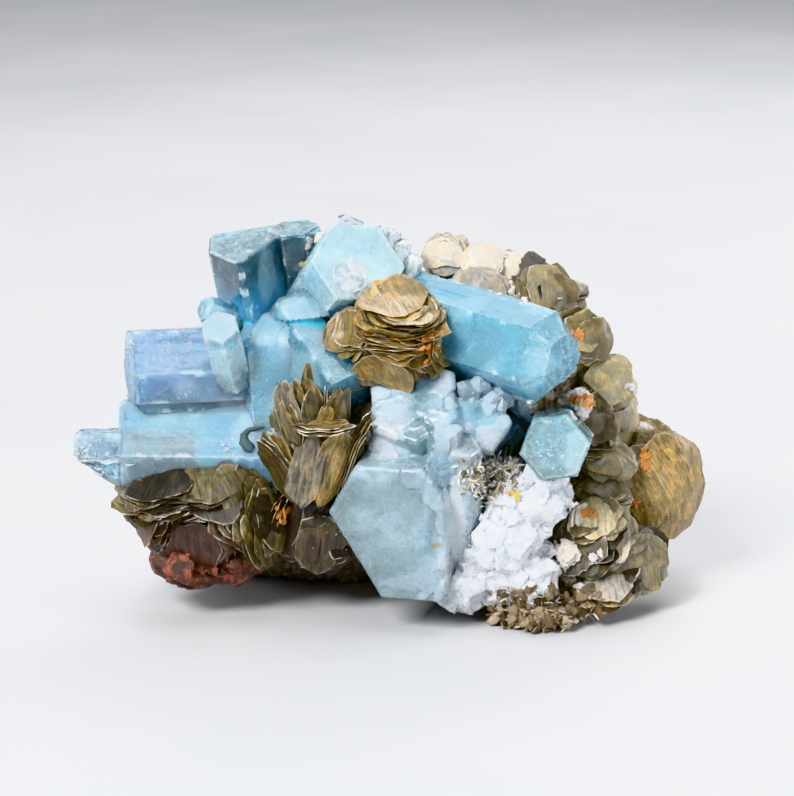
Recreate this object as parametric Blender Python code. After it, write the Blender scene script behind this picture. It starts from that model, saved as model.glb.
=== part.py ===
"""An aquamarine and muscovite specimen: beryl crystals on a mica and feldspar rock.

Everything is modelled in millimetres, then moved to the part's own frame and
scaled to metres. +X is to the right, -Y to the front and +Z up. The part's
origin is on the flat underside of the rock that the specimen rests on.
"""

import math
import random

import bmesh
import bpy
from mathutils import Matrix, Vector, noise

MM = 0.001
ORIGIN = Vector((0.0, 18.0, 0.0))  # the middle of the flat underside, in the tables below
GAP = 0.3  # left between two minerals that touch
FLOOR_CLEARANCE = 0.4  # what every mineral but the rock keeps above the resting plane
FRONT = Vector((0.0, -1.0, 0.0))
UP = Vector((0.0, 0.0, 1.0))

AQUA = ("aquamarine", (0.36, 0.66, 0.78, 1.0), 0.15)
PALE = ("pale_beryl", (0.68, 0.82, 0.87, 1.0), 0.25)
QUARTZ = ("white_quartz", (0.84, 0.86, 0.89, 1.0), 0.45)
MICA = ("muscovite", (0.36, 0.32, 0.19, 1.0), 0.35)
FELDSPAR = ("red_feldspar", (0.42, 0.20, 0.13, 1.0), 0.7)
ALBITE = ("white_albite", (0.85, 0.81, 0.78, 1.0), 0.6)
ROCK = ("matrix", (0.60, 0.55, 0.47, 1.0), 0.8)


def clear_scene():
    for item in list(bpy.data.objects):
        bpy.data.objects.remove(item)


def toward(azimuth, elevation):
    """A direction: azimuth 0 looks to the front and 90 to the right, elevation 90 is up."""
    a, e = math.radians(azimuth), math.radians(elevation)
    return Vector((math.sin(a) * math.cos(e), -math.cos(a) * math.cos(e), math.sin(e)))


def loft(rings):
    """A closed mesh through rings of equally many points, capped at both ends."""
    work = bmesh.new()
    loops = [[work.verts.new(point) for point in ring] for ring in rings]
    count = len(rings[0])
    work.faces.new(list(reversed(loops[0])))
    work.faces.new(loops[-1])
    for low, high in zip(loops, loops[1:]):
        for i in range(count):
            j = (i + 1) % count
            work.faces.new((low[i], low[j], high[j], high[i]))
    bmesh.ops.triangulate(work, faces=work.faces[:])
    bmesh.ops.recalc_face_normals(work, faces=work.faces[:])
    mesh = bpy.data.meshes.new("loft")
    work.to_mesh(mesh)
    work.free()
    return mesh


def boolean(first, second, operation):
    """The mesh left after joining one closed mesh to another, or cutting it by the other."""
    body = bpy.data.objects.new("body", first)
    tool = bpy.data.objects.new("tool", second)
    for item in (body, tool):
        bpy.context.scene.collection.objects.link(item)
    step = body.modifiers.new("step", "BOOLEAN")
    step.operation = operation
    step.solver = "EXACT"
    step.object = tool
    graph = bpy.context.evaluated_depsgraph_get()
    made = bpy.data.meshes.new_from_object(body.evaluated_get(graph))
    for item in (body, tool):
        bpy.data.objects.remove(item)
    return made


def fuse(meshes):
    made = meshes[0]
    for other in meshes[1:]:
        made = boolean(made, other, "UNION")
    return made


def largest_island(mesh):
    """The mesh without the loose crumbs that a cut leaves."""
    work = bmesh.new()
    work.from_mesh(mesh)
    bmesh.ops.remove_doubles(work, verts=work.verts[:], dist=0.004)
    bmesh.ops.dissolve_limit(
        work, angle_limit=math.radians(0.4), verts=work.verts[:], edges=work.edges[:]
    )
    bmesh.ops.triangulate(work, faces=work.faces[:])
    islands = []
    unseen = set(work.faces)
    while unseen:
        stack = [unseen.pop()]
        island = []
        while stack:
            face = stack.pop()
            island.append(face)
            for edge in face.edges:
                for other in edge.link_faces:
                    if other in unseen:
                        unseen.remove(other)
                        stack.append(other)
        islands.append(island)
    islands.sort(key=lambda island: sum(face.calc_area() for face in island))
    crumbs = [face for island in islands[:-1] for face in island]
    bmesh.ops.delete(work, geom=crumbs, context="FACES")
    made = bpy.data.meshes.new("kept")
    work.to_mesh(made)
    work.free()
    return made


def cut_below(mesh, height):
    """The part of a closed mesh above a level plane, closed again by a flat face."""
    work = bmesh.new()
    work.from_mesh(mesh)
    geometry = work.verts[:] + work.edges[:] + work.faces[:]
    cut = bmesh.ops.bisect_plane(
        work, geom=geometry, plane_co=(0, 0, height), plane_no=(0, 0, -1), clear_outer=True
    )
    rim = [item for item in cut["geom_cut"] if isinstance(item, bmesh.types.BMEdge)]
    bmesh.ops.holes_fill(work, edges=rim)
    bmesh.ops.triangulate(work, faces=work.faces[:])
    bmesh.ops.recalc_face_normals(work, faces=work.faces[:])
    made = bpy.data.meshes.new("cut")
    work.to_mesh(made)
    work.free()
    return made


def convex_hull(mesh):
    work = bmesh.new()
    work.from_mesh(mesh)
    hull = bmesh.ops.convex_hull(work, input=work.verts[:], use_existing_faces=False)
    inner = hull["geom_interior"] + hull["geom_unused"]
    bmesh.ops.delete(
        work, geom=[item for item in inner if isinstance(item, bmesh.types.BMVert)], context="VERTS"
    )
    loose = [face for face in work.faces if face not in set(hull["geom"])]
    bmesh.ops.delete(work, geom=loose, context="FACES_ONLY")
    bmesh.ops.recalc_face_normals(work, faces=work.faces[:])
    made = bpy.data.meshes.new("hull")
    work.to_mesh(made)
    work.free()
    return made


def box_of(mesh):
    points = [vertex.co for vertex in mesh.vertices]
    low = Vector([min(p[i] for p in points) for i in range(3)])
    high = Vector([max(p[i] for p in points) for i in range(3)])
    return low, high


def boxes_meet(first, second):
    (low_a, high_a), (low_b, high_b) = box_of(first), box_of(second)
    return all(low_a[i] < high_b[i] and low_b[i] < high_a[i] for i in range(3))


def six(*distances):
    """The faces of a plain hexagonal prism: one distance for all six, or one for each."""
    if len(distances) == 1:
        distances = distances * 6
    return dict(zip(range(0, 360, 60), distances))


def section(faces, roll, grow):
    """Corners of a prism's section from each face's angle and distance to the axis."""
    sides = sorted((math.radians(angle + roll), far + grow) for angle, far in faces.items())
    corners = []
    for (a, far_a), (b, far_b) in zip(sides, sides[1:] + sides[:1]):
        turn = math.sin(b - a)
        corners.append(
            (
                (far_a * math.sin(b) - far_b * math.sin(a)) / turn,
                (far_b * math.cos(a) - far_a * math.cos(b)) / turn,
            )
        )
    return corners


def prism(foot, tip, faces, roll=0.0, rim=0.5, lean=(0.0, 0.0), grow=0.0):
    """A beryl prism from foot to tip, with flat sides and a flat end.

    The face at angle 0 looks to the front, or up where the prism itself points
    to the front. rim is the bevel round the end, and lean slants the end by
    its rise toward that face and toward the face at 90 degrees.
    """
    foot, tip = Vector(foot), Vector(tip)
    axis = (tip - foot).normalized()
    reference = FRONT if abs(axis.dot(FRONT)) < 0.75 else UP
    first = (reference - axis * reference.dot(axis)).normalized()
    second = axis.cross(first)

    def ring(centre, inset, slant):
        return [
            centre + first * u + second * v + axis * slant * (lean[0] * u + lean[1] * v)
            for u, v in section(faces, roll, grow - inset)
        ]

    return loft(
        [
            ring(foot - axis * grow, 0.0, 0.0),
            ring(tip + axis * (grow - rim), 0.0, 1.0),
            ring(tip + axis * grow, rim, 1.0),
        ]
    )


def book(at, azimuth, elevation, radius, thick, aspect=1.0, spin=0.0, grow=0.0):
    """A book of mica sheets: a stepped plate with a rough seven-sided outline.

    Its flat side looks to azimuth and elevation. aspect stretches it along the
    direction that spin turns away from upright.
    """
    rng = random.Random(f"{at} {azimuth}")
    corners = 7
    normal = toward(azimuth, elevation)
    upright = UP - normal * UP.dot(normal)
    if upright.length < 0.2:
        upright = -FRONT
    upright.normalize()
    upright.rotate(Matrix.Rotation(math.radians(spin), 3, normal))
    side = upright.cross(normal)
    reach = [radius * rng.uniform(0.9, 1.08) for _ in range(corners)]
    turns = [math.tau * (k + rng.uniform(-0.2, 0.2)) / corners for k in range(corners)]
    ledge = rng.uniform(0.82, 0.9)
    centre = Vector(at)
    half = thick / 2

    def ring(scale, height):
        return [
            centre
            + normal * height
            + upright * math.cos(turn) * (far * scale * aspect + grow)
            + side * math.sin(turn) * (far * scale + grow)
            for far, turn in zip(reach, turns)
        ]

    return loft(
        [
            ring(0.93, -half - grow),
            ring(1.0, half * 0.1),
            ring(ledge, half * 0.4 + grow),
            ring(ledge * 0.93, half + grow),
        ]
    )


def lump(at, radii, rough, seed, subdivisions=2, grow=0.0):
    """A broken, faceted block: a sphere pushed in and out by noise."""
    work = bmesh.new()
    bmesh.ops.create_icosphere(work, subdivisions=subdivisions, radius=1.0)
    shift = Vector((seed * 7.3, seed * 3.1, seed * 5.7))
    for vertex in work.verts:
        direction = vertex.co.normalized()
        push = noise.noise(direction * 1.6 + shift) + 0.5 * noise.noise(direction * 4.1 + shift)
        scale = 1.0 + rough * push
        vertex.co = Vector(at) + Vector(
            [direction[i] * (radii[i] * scale + grow) for i in range(3)]
        )
    mesh = bpy.data.meshes.new("lump")
    work.to_mesh(mesh)
    work.free()
    return mesh


# The crystals, in groups that have grown into one another.
LEFT_CLUSTER = {
    "tower": dict(
        foot=(-23.6, 3.6, 39.5),
        tip=(-29.2, -1.1, 72.9),
        faces={0: 11.0, 60: 4.7, 90: 7.4, 120: 9.8, 180: 9.0, 240: 11.0, 270: 8.2, 300: 7.5},
        rim=0.5,
    ),
    "tower_wing": dict(
        foot=(-16.4, 8.0, 40.8), tip=(-20.6, 4.6, 75.0), faces=six(6.0, 5.0, 4.6, 5.0, 5.0, 5.0)
    ),
    "upper_arm": dict(
        foot=(-16.0, -1.2, 49.0),
        tip=(-52.6, -9.6, 49.4),
        faces=six(7.0, 7.5, 7.0, 7.0, 7.0, 8.0),
        roll=40.0,
    ),
    "lower_arm": dict(
        foot=(-14.0, -7.0, 32.2),
        tip=(-54.9, -9.7, 33.5),
        faces=six(7.5, 9.4, 7.0, 7.0, 8.0, 8.5),
        roll=40.0,
        rim=0.9,
    ),
    "clear_tip": dict(
        foot=(-40.0, -8.7, 33.0),
        tip=(-63.5, -10.2, 33.8),
        faces=six(7.3, 3.4, 6.0, 6.0, 2.2, 8.3),
        roll=40.0,
        rim=1.0,
    ),
    "clear_tip_under": dict(
        foot=(-40.0, -8.7, 29.0),
        tip=(-58.9, -10.0, 29.8),
        faces={60: 1.9, 180: 6.0, 240: 3.9, 300: 7.0},
        roll=40.0,
        rim=0.3,
        lean=(0.0, 1.3),
    ),
    "trunk": dict(
        foot=(-20.0, -5.0, 37.0),
        tip=(-22.0, -5.6, 61.0),
        faces=six(9.2, 12.6, 12.0, 8.0, 8.0, 10.6),
        roll=-6.0,
        rim=3.0,
    ),
    "web": dict(
        foot=(-16.0, -3.4, 42.2), tip=(-51.4, -9.6, 42.8), faces=six(4.0), roll=10.0, rim=0.4
    ),
    "frosted_prism": dict(
        foot=(-32.1, -10.1, 47.6), tip=(-34.1, -21.0, 60.5), faces=six(3.6), roll=-25.0
    ),
    "side_bud": dict(foot=(-28.0, -2.0, 56.0), tip=(-37.6, -9.0, 61.4), faces=six(2.6), roll=10.0),
    "diagonal": dict(
        foot=(-22.0, -2.6, 61.0), tip=(-9.2, -17.2, 46.0), faces=six(6.8), roll=30.0
    ),
}
TOP_CRYSTAL = {
    "frosted_face": dict(
        foot=(-14.5, 6.0, 59.0),
        tip=(-7.6, -11.0, 70.9),
        faces=six(8.0, 8.2, 8.4, 8.2, 9.0, 8.6),
        roll=-8.0,
    ),
    "hillock": dict(
        foot=(-11.0, -8.0, 65.0), tip=(-9.0, -13.2, 68.6), faces=six(3.7), roll=20.0
    ),
    "spike": dict(foot=(-6.0, 2.0, 62.0), tip=(-2.8, -2.5, 76.6), faces=six(1.6), rim=1.2),
    "box_high": dict(foot=(-3.0, 2.0, 62.0), tip=(-0.6, -1.5, 75.4), faces=six(1.5), rim=0.3),
    "box_middle": dict(foot=(-1.0, 2.0, 60.0), tip=(1.2, -2.0, 73.2), faces=six(1.7), rim=0.3),
    "box_low": dict(foot=(1.0, 2.0, 58.0), tip=(3.4, -2.0, 70.2), faces=six(1.8), rim=0.5),
}
PALE_BLADE = {
    "blade": dict(
        foot=(-14.0, 6.0, 64.0),
        tip=(-8.4, 3.2, 77.0),
        faces=six(1.2, 2.9, 2.9, 1.2, 2.9, 2.9),
        rim=1.1,
    ),
}
RIGHT_CRYSTAL = {
    "right_prism": dict(
        foot=(3.4, -1.2, 56.3),
        tip=(31.4, -25.4, 53.0),
        faces=six(8.5, 7.6, 6.2, 8.5, 9.0, 10.0),
        roll=-10.0,
        rim=3.6,
    ),
}
SMALL_CRYSTAL = {
    "small_prism": dict(
        foot=(31.5, -14.0, 36.0), tip=(30.1, -29.5, 38.4), faces=six(6.2), roll=10.0, rim=0.8
    ),
}
BACK_CRYSTAL = {
    "back_prism": dict(foot=(2.0, 12.0, 38.0), tip=(-14.0, 37.0, 47.0), faces=six(6.2), roll=10.0),
    "back_bud": dict(foot=(0.0, 14.0, 32.0), tip=(-3.0, 35.0, 38.0), faces=six(3.6)),
}
PALE_MASS = {
    "low_face": dict(
        foot=(2.0, -10.0, 22.5),
        tip=(-2.3, -27.5, 20.5),
        faces={0: 14.0, 60: 11.8, 120: 7.8, 180: 13.4, 240: 16.0, 270: 11.4, 300: 13.5},
    ),
    "rib_left": dict(foot=(9.0, -17.0, 7.0), tip=(9.2, -26.0, 41.5), faces=six(3.0), roll=15.0),
    "rib_right": dict(foot=(13.5, -16.0, 6.0), tip=(12.6, -26.0, 38.0), faces=six(3.2), roll=-10.0),
    "shelf": dict(foot=(7.0, -8.0, 34.0), tip=(3.0, -21.5, 45.8), faces=six(8.2), roll=20.0),
    "step": dict(foot=(4.0, -8.0, 35.0), tip=(2.0, -23.6, 36.6), faces=six(7.4), roll=8.0, rim=0.8),
    "blue_shelf": dict(foot=(16.0, -8.0, 36.0), tip=(15.6, -22.5, 42.2), faces=six(5.6), roll=-5.0),
}

# The white granular mass at the lower right: centre, radii, roughness and seed of each block.
QUARTZ_BLOCKS = [
    ((20.5, -18.0, 19.0), (10.0, 9.0, 12.0), 0.16, 1),
    ((24.0, -17.0, 9.0), (9.5, 8.5, 7.0), 0.18, 2),
    ((28.5, -18.0, 26.0), (6.0, 7.0, 8.0), 0.2, 3),
    ((12.0, -17.5, 8.5), (6.5, 8.0, 6.5), 0.18, 4),
    ((20.8, -13.0, 37.6), (6.4, 7.0, 5.4), 0.18, 5),
]

# The mica, in rosettes. Each book has its centre, the azimuth and elevation that its flat
# side looks to, its radius and its thickness, then aspect and spin where it isn't round.
MICA_BOOKS = {
    "mica_centre_rosette": [
        ((-0.4, -16.0, 63.0), 10, 62, 9.4, 2.6),
        ((1.6, -19.0, 60.6), 12, 72, 9.0, 2.0),
        ((0.2, -20.5, 57.4), 5, 84, 8.4, 2.2),
        ((-1.6, -20.5, 53.0), -14, -36, 7.8, 3.4),
        ((6.2, -17.5, 57.0), 62, 10, 7.6, 2.2),
        ((-8.0, -17.5, 58.4), -40, 24, 6.4, 2.6),
    ],
    "mica_left_fan": [
        ((-22.2, -19.0, 38.7), -52, 8, 3.4, 2.2, 2.8, 19),
        ((-19.7, -21.0, 41.1), -24, 6, 3.8, 2.2, 2.7, 6),
        ((-17.2, -19.5, 42.9), 6, 12, 4.0, 2.2, 2.5, -4),
        ((-14.4, -21.5, 39.5), 30, 10, 3.8, 2.2, 2.5, -24),
        ((-9.9, -21.0, 34.5), 62, 6, 3.2, 2.4, 3.1, -29),
        ((-12.4, -23.5, 33.7), 18, 0, 4.2, 2.2, 2.2, -22),
        ((-23.6, -20.0, 32.2), -44, -4, 3.8, 2.2, 2.1, 26),
        ((-17.8, -23.5, 32.0), -10, -6, 3.9, 2.2, 2.2, -11),
        ((-14.8, -21.0, 39.8), 0, 68, 6.8, 2.0),
        ((-16.6, -18.0, 34.0), -10, 20, 8.0, 3.0),
    ],
    "mica_lower_left_rosette": [
        ((-48.0, -13.0, 22.8), -62, 18, 9.8, 3.0),
        ((-45.6, -18.0, 27.8), -36, 60, 9.8, 2.6, 0.9, 0),
        ((-36.4, -18.0, 28.8), 0, 62, 9.4, 3.0),
        ((-40.0, -17.0, 16.6), -20, -16, 9.8, 3.4, 0.9, 0),
        ((-51.2, -16.0, 24.4), -40, 6, 6.2, 2.4),
        ((-29.0, -18.5, 23.8), 36, 10, 8.8, 2.4, 1.2, 24),
        ((-24.6, -18.0, 20.6), 58, 4, 8.0, 2.0, 1.25, 20),
        ((-34.0, -8.0, 16.0), 10, -52, 10.0, 4.0),
    ],
    "mica_lower_blades": [
        ((-19.0, -15.0, 18.4), -28, 4, 7.4, 2.4, 1.2, -12),
        ((-14.4, -16.5, 15.8), -4, -10, 7.0, 2.2, 1.15, 4),
        ((-12.8, -15.0, 22.4), 20, 8, 7.0, 2.4, 1.2, 14),
    ],
    "mica_top_books": [
        ((9.4, 7.0, 68.6), -14, 18, 5.8, 4.2, 0.9, 0),
        ((16.6, 5.0, 67.2), 6, 24, 5.8, 4.0, 0.9, 0),
        ((16.4, 0.4, 63.8), 0, 38, 6.8, 3.0, 0.9, 0),
        ((23.0, 7.0, 66.4), 20, 20, 4.2, 3.0),
    ],
    "mica_top_right_books": [
        ((29.4, 4.0, 62.4), 26, 30, 7.6, 3.4, 0.85, 0),
        ((33.2, 6.0, 61.0), 48, 34, 7.6, 3.0, 0.9, 0),
    ],
    "mica_right_books": [
        ((38.4, -0.4, 53.4), 38, 16, 7.2, 4.4),
        ((42.4, -0.6, 45.0), 30, 34, 7.6, 3.0, 0.8, 0),
        ((46.0, 1.4, 38.4), 60, 20, 7.6, 3.0),
        ((39.0, -7.0, 39.0), 20, 20, 6.4, 2.6),
        ((42.4, -7.4, 30.6), 24, 50, 6.6, 2.6, 0.9, 0),
        ((41.0, -10.0, 25.4), 10, 58, 6.6, 2.4, 0.9, 0),
    ],
    "mica_right_shell": [
        ((55.2, -1.0, 22.6), 34, 4, 10.8, 3.2, 1.12, 10),
        ((53.0, 2.6, 22.8), 40, 10, 11.4, 3.4, 1.16, 10),
        ((50.0, -2.6, 19.6), -6, 6, 6.4, 2.4, 1.3, 8),
        ((50.6, 4.0, 31.6), 30, 52, 6.6, 2.6),
    ],
    "mica_lower_right_curl": [
        ((39.4, -16.4, 21.0), -6, 52, 6.6, 2.4),
        ((43.0, -14.6, 17.0), 44, 6, 6.8, 2.4, 1.1, 0),
        ((36.6, -17.6, 15.6), -22, 12, 6.2, 2.4, 1.2, 0),
        ((47.8, -12.6, 10.6), 16, 8, 7.6, 2.8),
        ((41.0, -17.0, 7.6), 0, 62, 7.2, 2.4, 0.85, 0),
    ],
    "mica_back_left_rosette": [
        ((-32.0, 20.0, 32.0), -150, 18, 11.0, 3.0),
        ((-38.0, 14.0, 27.0), -120, 4, 10.0, 3.0),
        ((-28.0, 26.0, 25.0), 176, -4, 10.0, 3.0),
        ((-30.0, 16.0, 41.0), -150, 54, 9.4, 2.8),
    ],
    "mica_back_right_rosette": [
        ((28.0, 28.0, 34.0), 160, 20, 11.4, 3.0),
        ((36.0, 22.0, 29.0), 130, 4, 10.6, 3.0),
        ((22.0, 31.0, 26.0), -176, -10, 10.4, 3.0),
        ((28.0, 23.0, 43.0), 150, 54, 9.6, 2.8),
    ],
    "mica_back_top_rosette": [
        ((12.0, 23.0, 57.0), 172, 40, 10.0, 3.0),
        ((4.0, 24.0, 51.0), -160, 18, 9.0, 2.8),
        ((20.0, 24.0, 52.0), 150, 24, 9.4, 2.8),
    ],
}

RED_FELDSPAR_BLOCKS = [
    ((-39.4, -12.0, 11.0), (9.0, 8.0, 6.2), 0.2, 21, 2),
    ((-32.0, -11.0, 11.4), (6.6, 7.0, 5.6), 0.2, 22, 2),
]
ALBITE_BLOCKS = {
    "albite_pocket": [((18.6, -15.6, 31.0), (6.4, 5.6, 4.6), 0.22, 34)],
    "albite_behind_tower": [((-15.0, 4.0, 70.2), (4.2, 5.0, 4.6), 0.22, 31)],
    "albite_right": [((35.6, -13.4, 43.0), (2.8, 4.0, 3.4), 0.22, 32)],
    "albite_low_right": [((34.0, -16.0, 13.4), (4.0, 4.6, 4.0), 0.22, 33)],
}
ROCK_LUMPS = [
    ((4.0, 7.0, 35.0), (41.0, 22.0, 25.0), 0.14, 11, 3),
    ((18.0, 9.0, 55.0), (22.0, 12.0, 12.0), 0.14, 17, 2),
    ((-24.0, 9.0, 30.0), (22.0, 15.0, 18.0), 0.16, 12, 2),
    ((-4.0, 18.0, 14.0), (42.0, 14.0, 20.0), 0.16, 14, 2),
    ((27.0, -4.0, 7.0), (18.0, 14.0, 14.0), 0.16, 13, 2),
    ((28.0, -19.0, 2.6), (9.0, 7.0, 4.6), 0.3, 16, 2),
]


def crystals(table, grow=0.0):
    return [prism(grow=grow, **crystal) for crystal in table.values()]


def mica(books, grow=0.0):
    return [book(*row, grow=grow) for row in books]


def blocks(rows, grow=0.0):
    return [lump(*row, grow=grow) for row in rows]


def material(kind):
    name, colour, roughness = kind
    found = bpy.data.materials.get(name)
    if found:
        return found
    made = bpy.data.materials.new(name)
    made.use_nodes = True
    shader = made.node_tree.nodes["Principled BSDF"]
    shader.inputs["Base Color"].default_value = colour
    shader.inputs["Roughness"].default_value = roughness
    shader.inputs["Metallic"].default_value = 0.0
    return made


class Specimen:
    """Places each mineral in turn, cut back by a gap from those placed before it."""

    def __init__(self):
        self.taken = []
        self.hulls = []

    def add(self, name, kind, make, rows, floor=FLOOR_CLEARANCE, coarse=False):
        mesh = fuse(make(rows))
        for other in self.hulls if coarse else self.taken:
            if boxes_meet(mesh, other):
                mesh = boolean(mesh, other, "DIFFERENCE")
        mesh = largest_island(mesh)
        if box_of(mesh)[0].z < floor:
            mesh = cut_below(mesh, floor)
        grown = fuse(make(rows, GAP))
        self.taken.append(grown)
        self.hulls.append(convex_hull(grown) if make is mica else grown)
        mesh.transform(Matrix.Scale(MM, 4) @ Matrix.Translation(-ORIGIN))
        mesh.name = name
        mesh.materials.clear()
        mesh.materials.append(material(kind))
        bpy.context.scene.collection.objects.link(bpy.data.objects.new(name, mesh))


def build():
    clear_scene()
    specimen = Specimen()
    for name, kind, table in (
        ("aquamarine_left_cluster", AQUA, LEFT_CLUSTER),
        ("aquamarine_right_crystal", AQUA, RIGHT_CRYSTAL),
        ("aquamarine_top_crystal", AQUA, TOP_CRYSTAL),
        ("aquamarine_small_crystal", AQUA, SMALL_CRYSTAL),
        ("aquamarine_back_crystal", AQUA, BACK_CRYSTAL),
        ("quartz_blade", QUARTZ, PALE_BLADE),
        ("pale_beryl_mass", PALE, PALE_MASS),
    ):
        specimen.add(name, kind, crystals, table)
    specimen.add("white_quartz_mass", QUARTZ, blocks, QUARTZ_BLOCKS)
    for name, books in MICA_BOOKS.items():
        specimen.add(name, MICA, mica, books)
    specimen.add("red_feldspar", FELDSPAR, blocks, RED_FELDSPAR_BLOCKS)
    for name, rows in ALBITE_BLOCKS.items():
        specimen.add(name, ALBITE, blocks, rows)
    specimen.add("matrix_rock", ROCK, blocks, ROCK_LUMPS, floor=0.0, coarse=True)


build()
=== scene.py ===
"""Visual model of an aquamarine and muscovite specimen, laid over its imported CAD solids.

All making is in millimetres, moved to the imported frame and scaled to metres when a
piece is put together. +X is to the right, -Y to the front and +Z up, and the specimen
rests on the plane z = 0.
"""
import math
import random

import bmesh
import bpy
import numpy as np
from mathutils import Matrix, Vector, noise
from mathutils.bvhtree import BVHTree
from mathutils.geometry import delaunay_2d_cdt
from mathutils.kdtree import KDTree


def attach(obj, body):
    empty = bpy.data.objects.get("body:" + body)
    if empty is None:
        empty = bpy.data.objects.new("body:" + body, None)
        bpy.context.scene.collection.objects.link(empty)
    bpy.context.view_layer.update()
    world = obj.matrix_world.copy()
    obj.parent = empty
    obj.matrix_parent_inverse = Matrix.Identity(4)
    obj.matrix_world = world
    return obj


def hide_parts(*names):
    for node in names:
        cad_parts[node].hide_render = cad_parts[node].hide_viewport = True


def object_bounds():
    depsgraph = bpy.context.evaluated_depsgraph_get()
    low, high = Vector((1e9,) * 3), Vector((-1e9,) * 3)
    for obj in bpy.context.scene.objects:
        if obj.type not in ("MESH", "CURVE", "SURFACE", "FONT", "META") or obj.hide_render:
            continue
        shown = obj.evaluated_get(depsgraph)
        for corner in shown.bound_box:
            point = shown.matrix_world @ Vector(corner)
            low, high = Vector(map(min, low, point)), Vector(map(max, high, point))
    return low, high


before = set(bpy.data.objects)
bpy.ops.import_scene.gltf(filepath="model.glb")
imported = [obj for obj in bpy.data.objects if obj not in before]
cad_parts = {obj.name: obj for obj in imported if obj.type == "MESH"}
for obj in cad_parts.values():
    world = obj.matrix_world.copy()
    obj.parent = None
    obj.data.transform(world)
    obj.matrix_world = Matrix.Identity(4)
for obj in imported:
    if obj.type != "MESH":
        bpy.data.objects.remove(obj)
cad_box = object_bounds()

MM = 0.001
FRONT = Vector((0.0, -1.0, 0.0))
UP = Vector((0.0, 0.0, 1.0))
CORE = Vector((0.0, 8.0, 32.0))  # the middle of the rock, where the mica books are rooted
ORIGIN = np.array((0.0, 18.0, 0.0))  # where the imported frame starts, in the tables below
BOX_LOW = np.array(cad_box[0]) / MM + ORIGIN
BOX_HIGH = np.array(cad_box[1]) / MM + ORIGIN

# Camera: straight from the front and a little above, as the specimen is photographed.
CAMERA_ELEVATION = 14.0
CAMERA_DISTANCE = 600.0
CAMERA_TARGET = Vector((0.0, 0.0, 41.0))
LENS = 135.7
PHOTO_CENTRE = (397.0, 398.0)
PIXELS_PER_MM = 5.0  # at the target
SENSOR_WIDTH = 36.0

MARGIN = 0.02  # how far inside the CAD box every visible piece stays, in mm
BURIED = 0.9  # crystal skin deeper than this in a neighbour is left out, in mm
SHORTEST_CORE = 4.0  # a crystal with a shorter cloudy inside than this gets none, in mm


# The crystals, one row a prism: the middle of its foot and of its tip in mm, how far each side is
# from its axis by the angle the side faces, its roll about the axis in degrees, the height of the
# bevel round its end, how far the end slants, and whether the bevel is rounded.

def six(*distances):
    if len(distances) == 1:
        distances = distances * 6
    return dict(zip(range(0, 360, 60), distances))


LEFT_CLUSTER = {
    "tower": dict(
        foot=(-23.6, 3.6, 39.5),
        tip=(-29.2, -1.1, 72.9),
        faces={0: 11.0, 60: 4.7, 90: 7.4, 120: 9.8, 180: 9.0, 240: 11.0, 270: 8.2, 300: 7.5},
        rim=0.5,
    ),
    "tower_wing": dict(
        foot=(-16.4, 8.0, 40.8), tip=(-20.6, 4.6, 75.0), faces=six(6.0, 5.0, 4.6, 5.0, 5.0, 5.0)
    ),
    "upper_arm": dict(
        foot=(-16.0, -1.2, 49.0),
        tip=(-52.6, -9.6, 49.4),
        faces=six(7.0, 7.5, 7.0, 7.0, 7.0, 8.0),
        roll=40.0,
    ),
    "lower_arm": dict(
        foot=(-14.0, -7.0, 32.2),
        tip=(-54.9, -9.7, 33.5),
        faces=six(7.5, 9.4, 7.0, 7.0, 8.0, 8.5),
        roll=40.0,
        rim=0.9,
    ),
    "clear_tip": dict(
        foot=(-40.0, -8.7, 33.0),
        tip=(-63.5, -10.2, 33.8),
        faces=six(7.3, 3.4, 6.0, 6.0, 2.2, 8.3),
        roll=40.0,
        rim=1.0,
    ),
    "clear_tip_under": dict(
        foot=(-40.0, -8.7, 29.0),
        tip=(-58.9, -10.0, 29.8),
        faces={60: 1.9, 180: 6.0, 240: 3.9, 300: 7.0},
        roll=40.0,
        rim=0.3,
        lean=(0.0, 1.3),
    ),
    "trunk": dict(
        foot=(-20.0, -5.0, 37.0),
        tip=(-22.0, -5.6, 61.0),
        faces=six(9.2, 12.6, 12.0, 8.0, 8.0, 10.6),
        roll=-6.0,
        rim=9.0,
        soft=True,
    ),
    "web": dict(
        foot=(-16.0, -3.4, 42.2),
        tip=(-51.4, -9.6, 42.8),
        faces=six(4.0),
        roll=10.0,
        rim=2.4,
        soft=True,
    ),
    "frosted_prism": dict(
        foot=(-32.1, -10.1, 47.6), tip=(-34.1, -21.0, 60.5), faces=six(3.6), roll=-25.0
    ),
    "side_bud": dict(foot=(-28.0, -2.0, 56.0), tip=(-37.6, -9.0, 61.4), faces=six(2.6), roll=10.0),
    "diagonal": dict(
        foot=(-9.2, -17.2, 46.0),
        tip=(-22.0, -2.6, 61.0),
        faces=six(6.8),
        roll=30.0,
        rim=5.0,
        soft=True,
    ),
}
TOP_CRYSTAL = {
    "frosted_face": dict(
        foot=(-14.5, 6.0, 59.0),
        tip=(-7.6, -11.0, 70.9),
        faces=six(8.0, 8.2, 8.4, 8.2, 9.0, 8.6),
        roll=-8.0,
    ),
    "hillock": dict(
        foot=(-11.0, -8.0, 65.0), tip=(-9.0, -13.2, 68.6), faces=six(3.7), roll=20.0
    ),
    "spike": dict(foot=(-6.0, 2.0, 62.0), tip=(-2.8, -2.5, 76.6), faces=six(1.6), rim=1.2),
    "box_high": dict(foot=(-3.0, 2.0, 62.0), tip=(-0.6, -1.5, 75.4), faces=six(1.5), rim=0.3),
    "box_middle": dict(foot=(-1.0, 2.0, 60.0), tip=(1.2, -2.0, 73.2), faces=six(1.7), rim=0.3),
    "box_low": dict(foot=(1.0, 2.0, 58.0), tip=(3.4, -2.0, 70.2), faces=six(1.8), rim=0.5),
}
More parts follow.
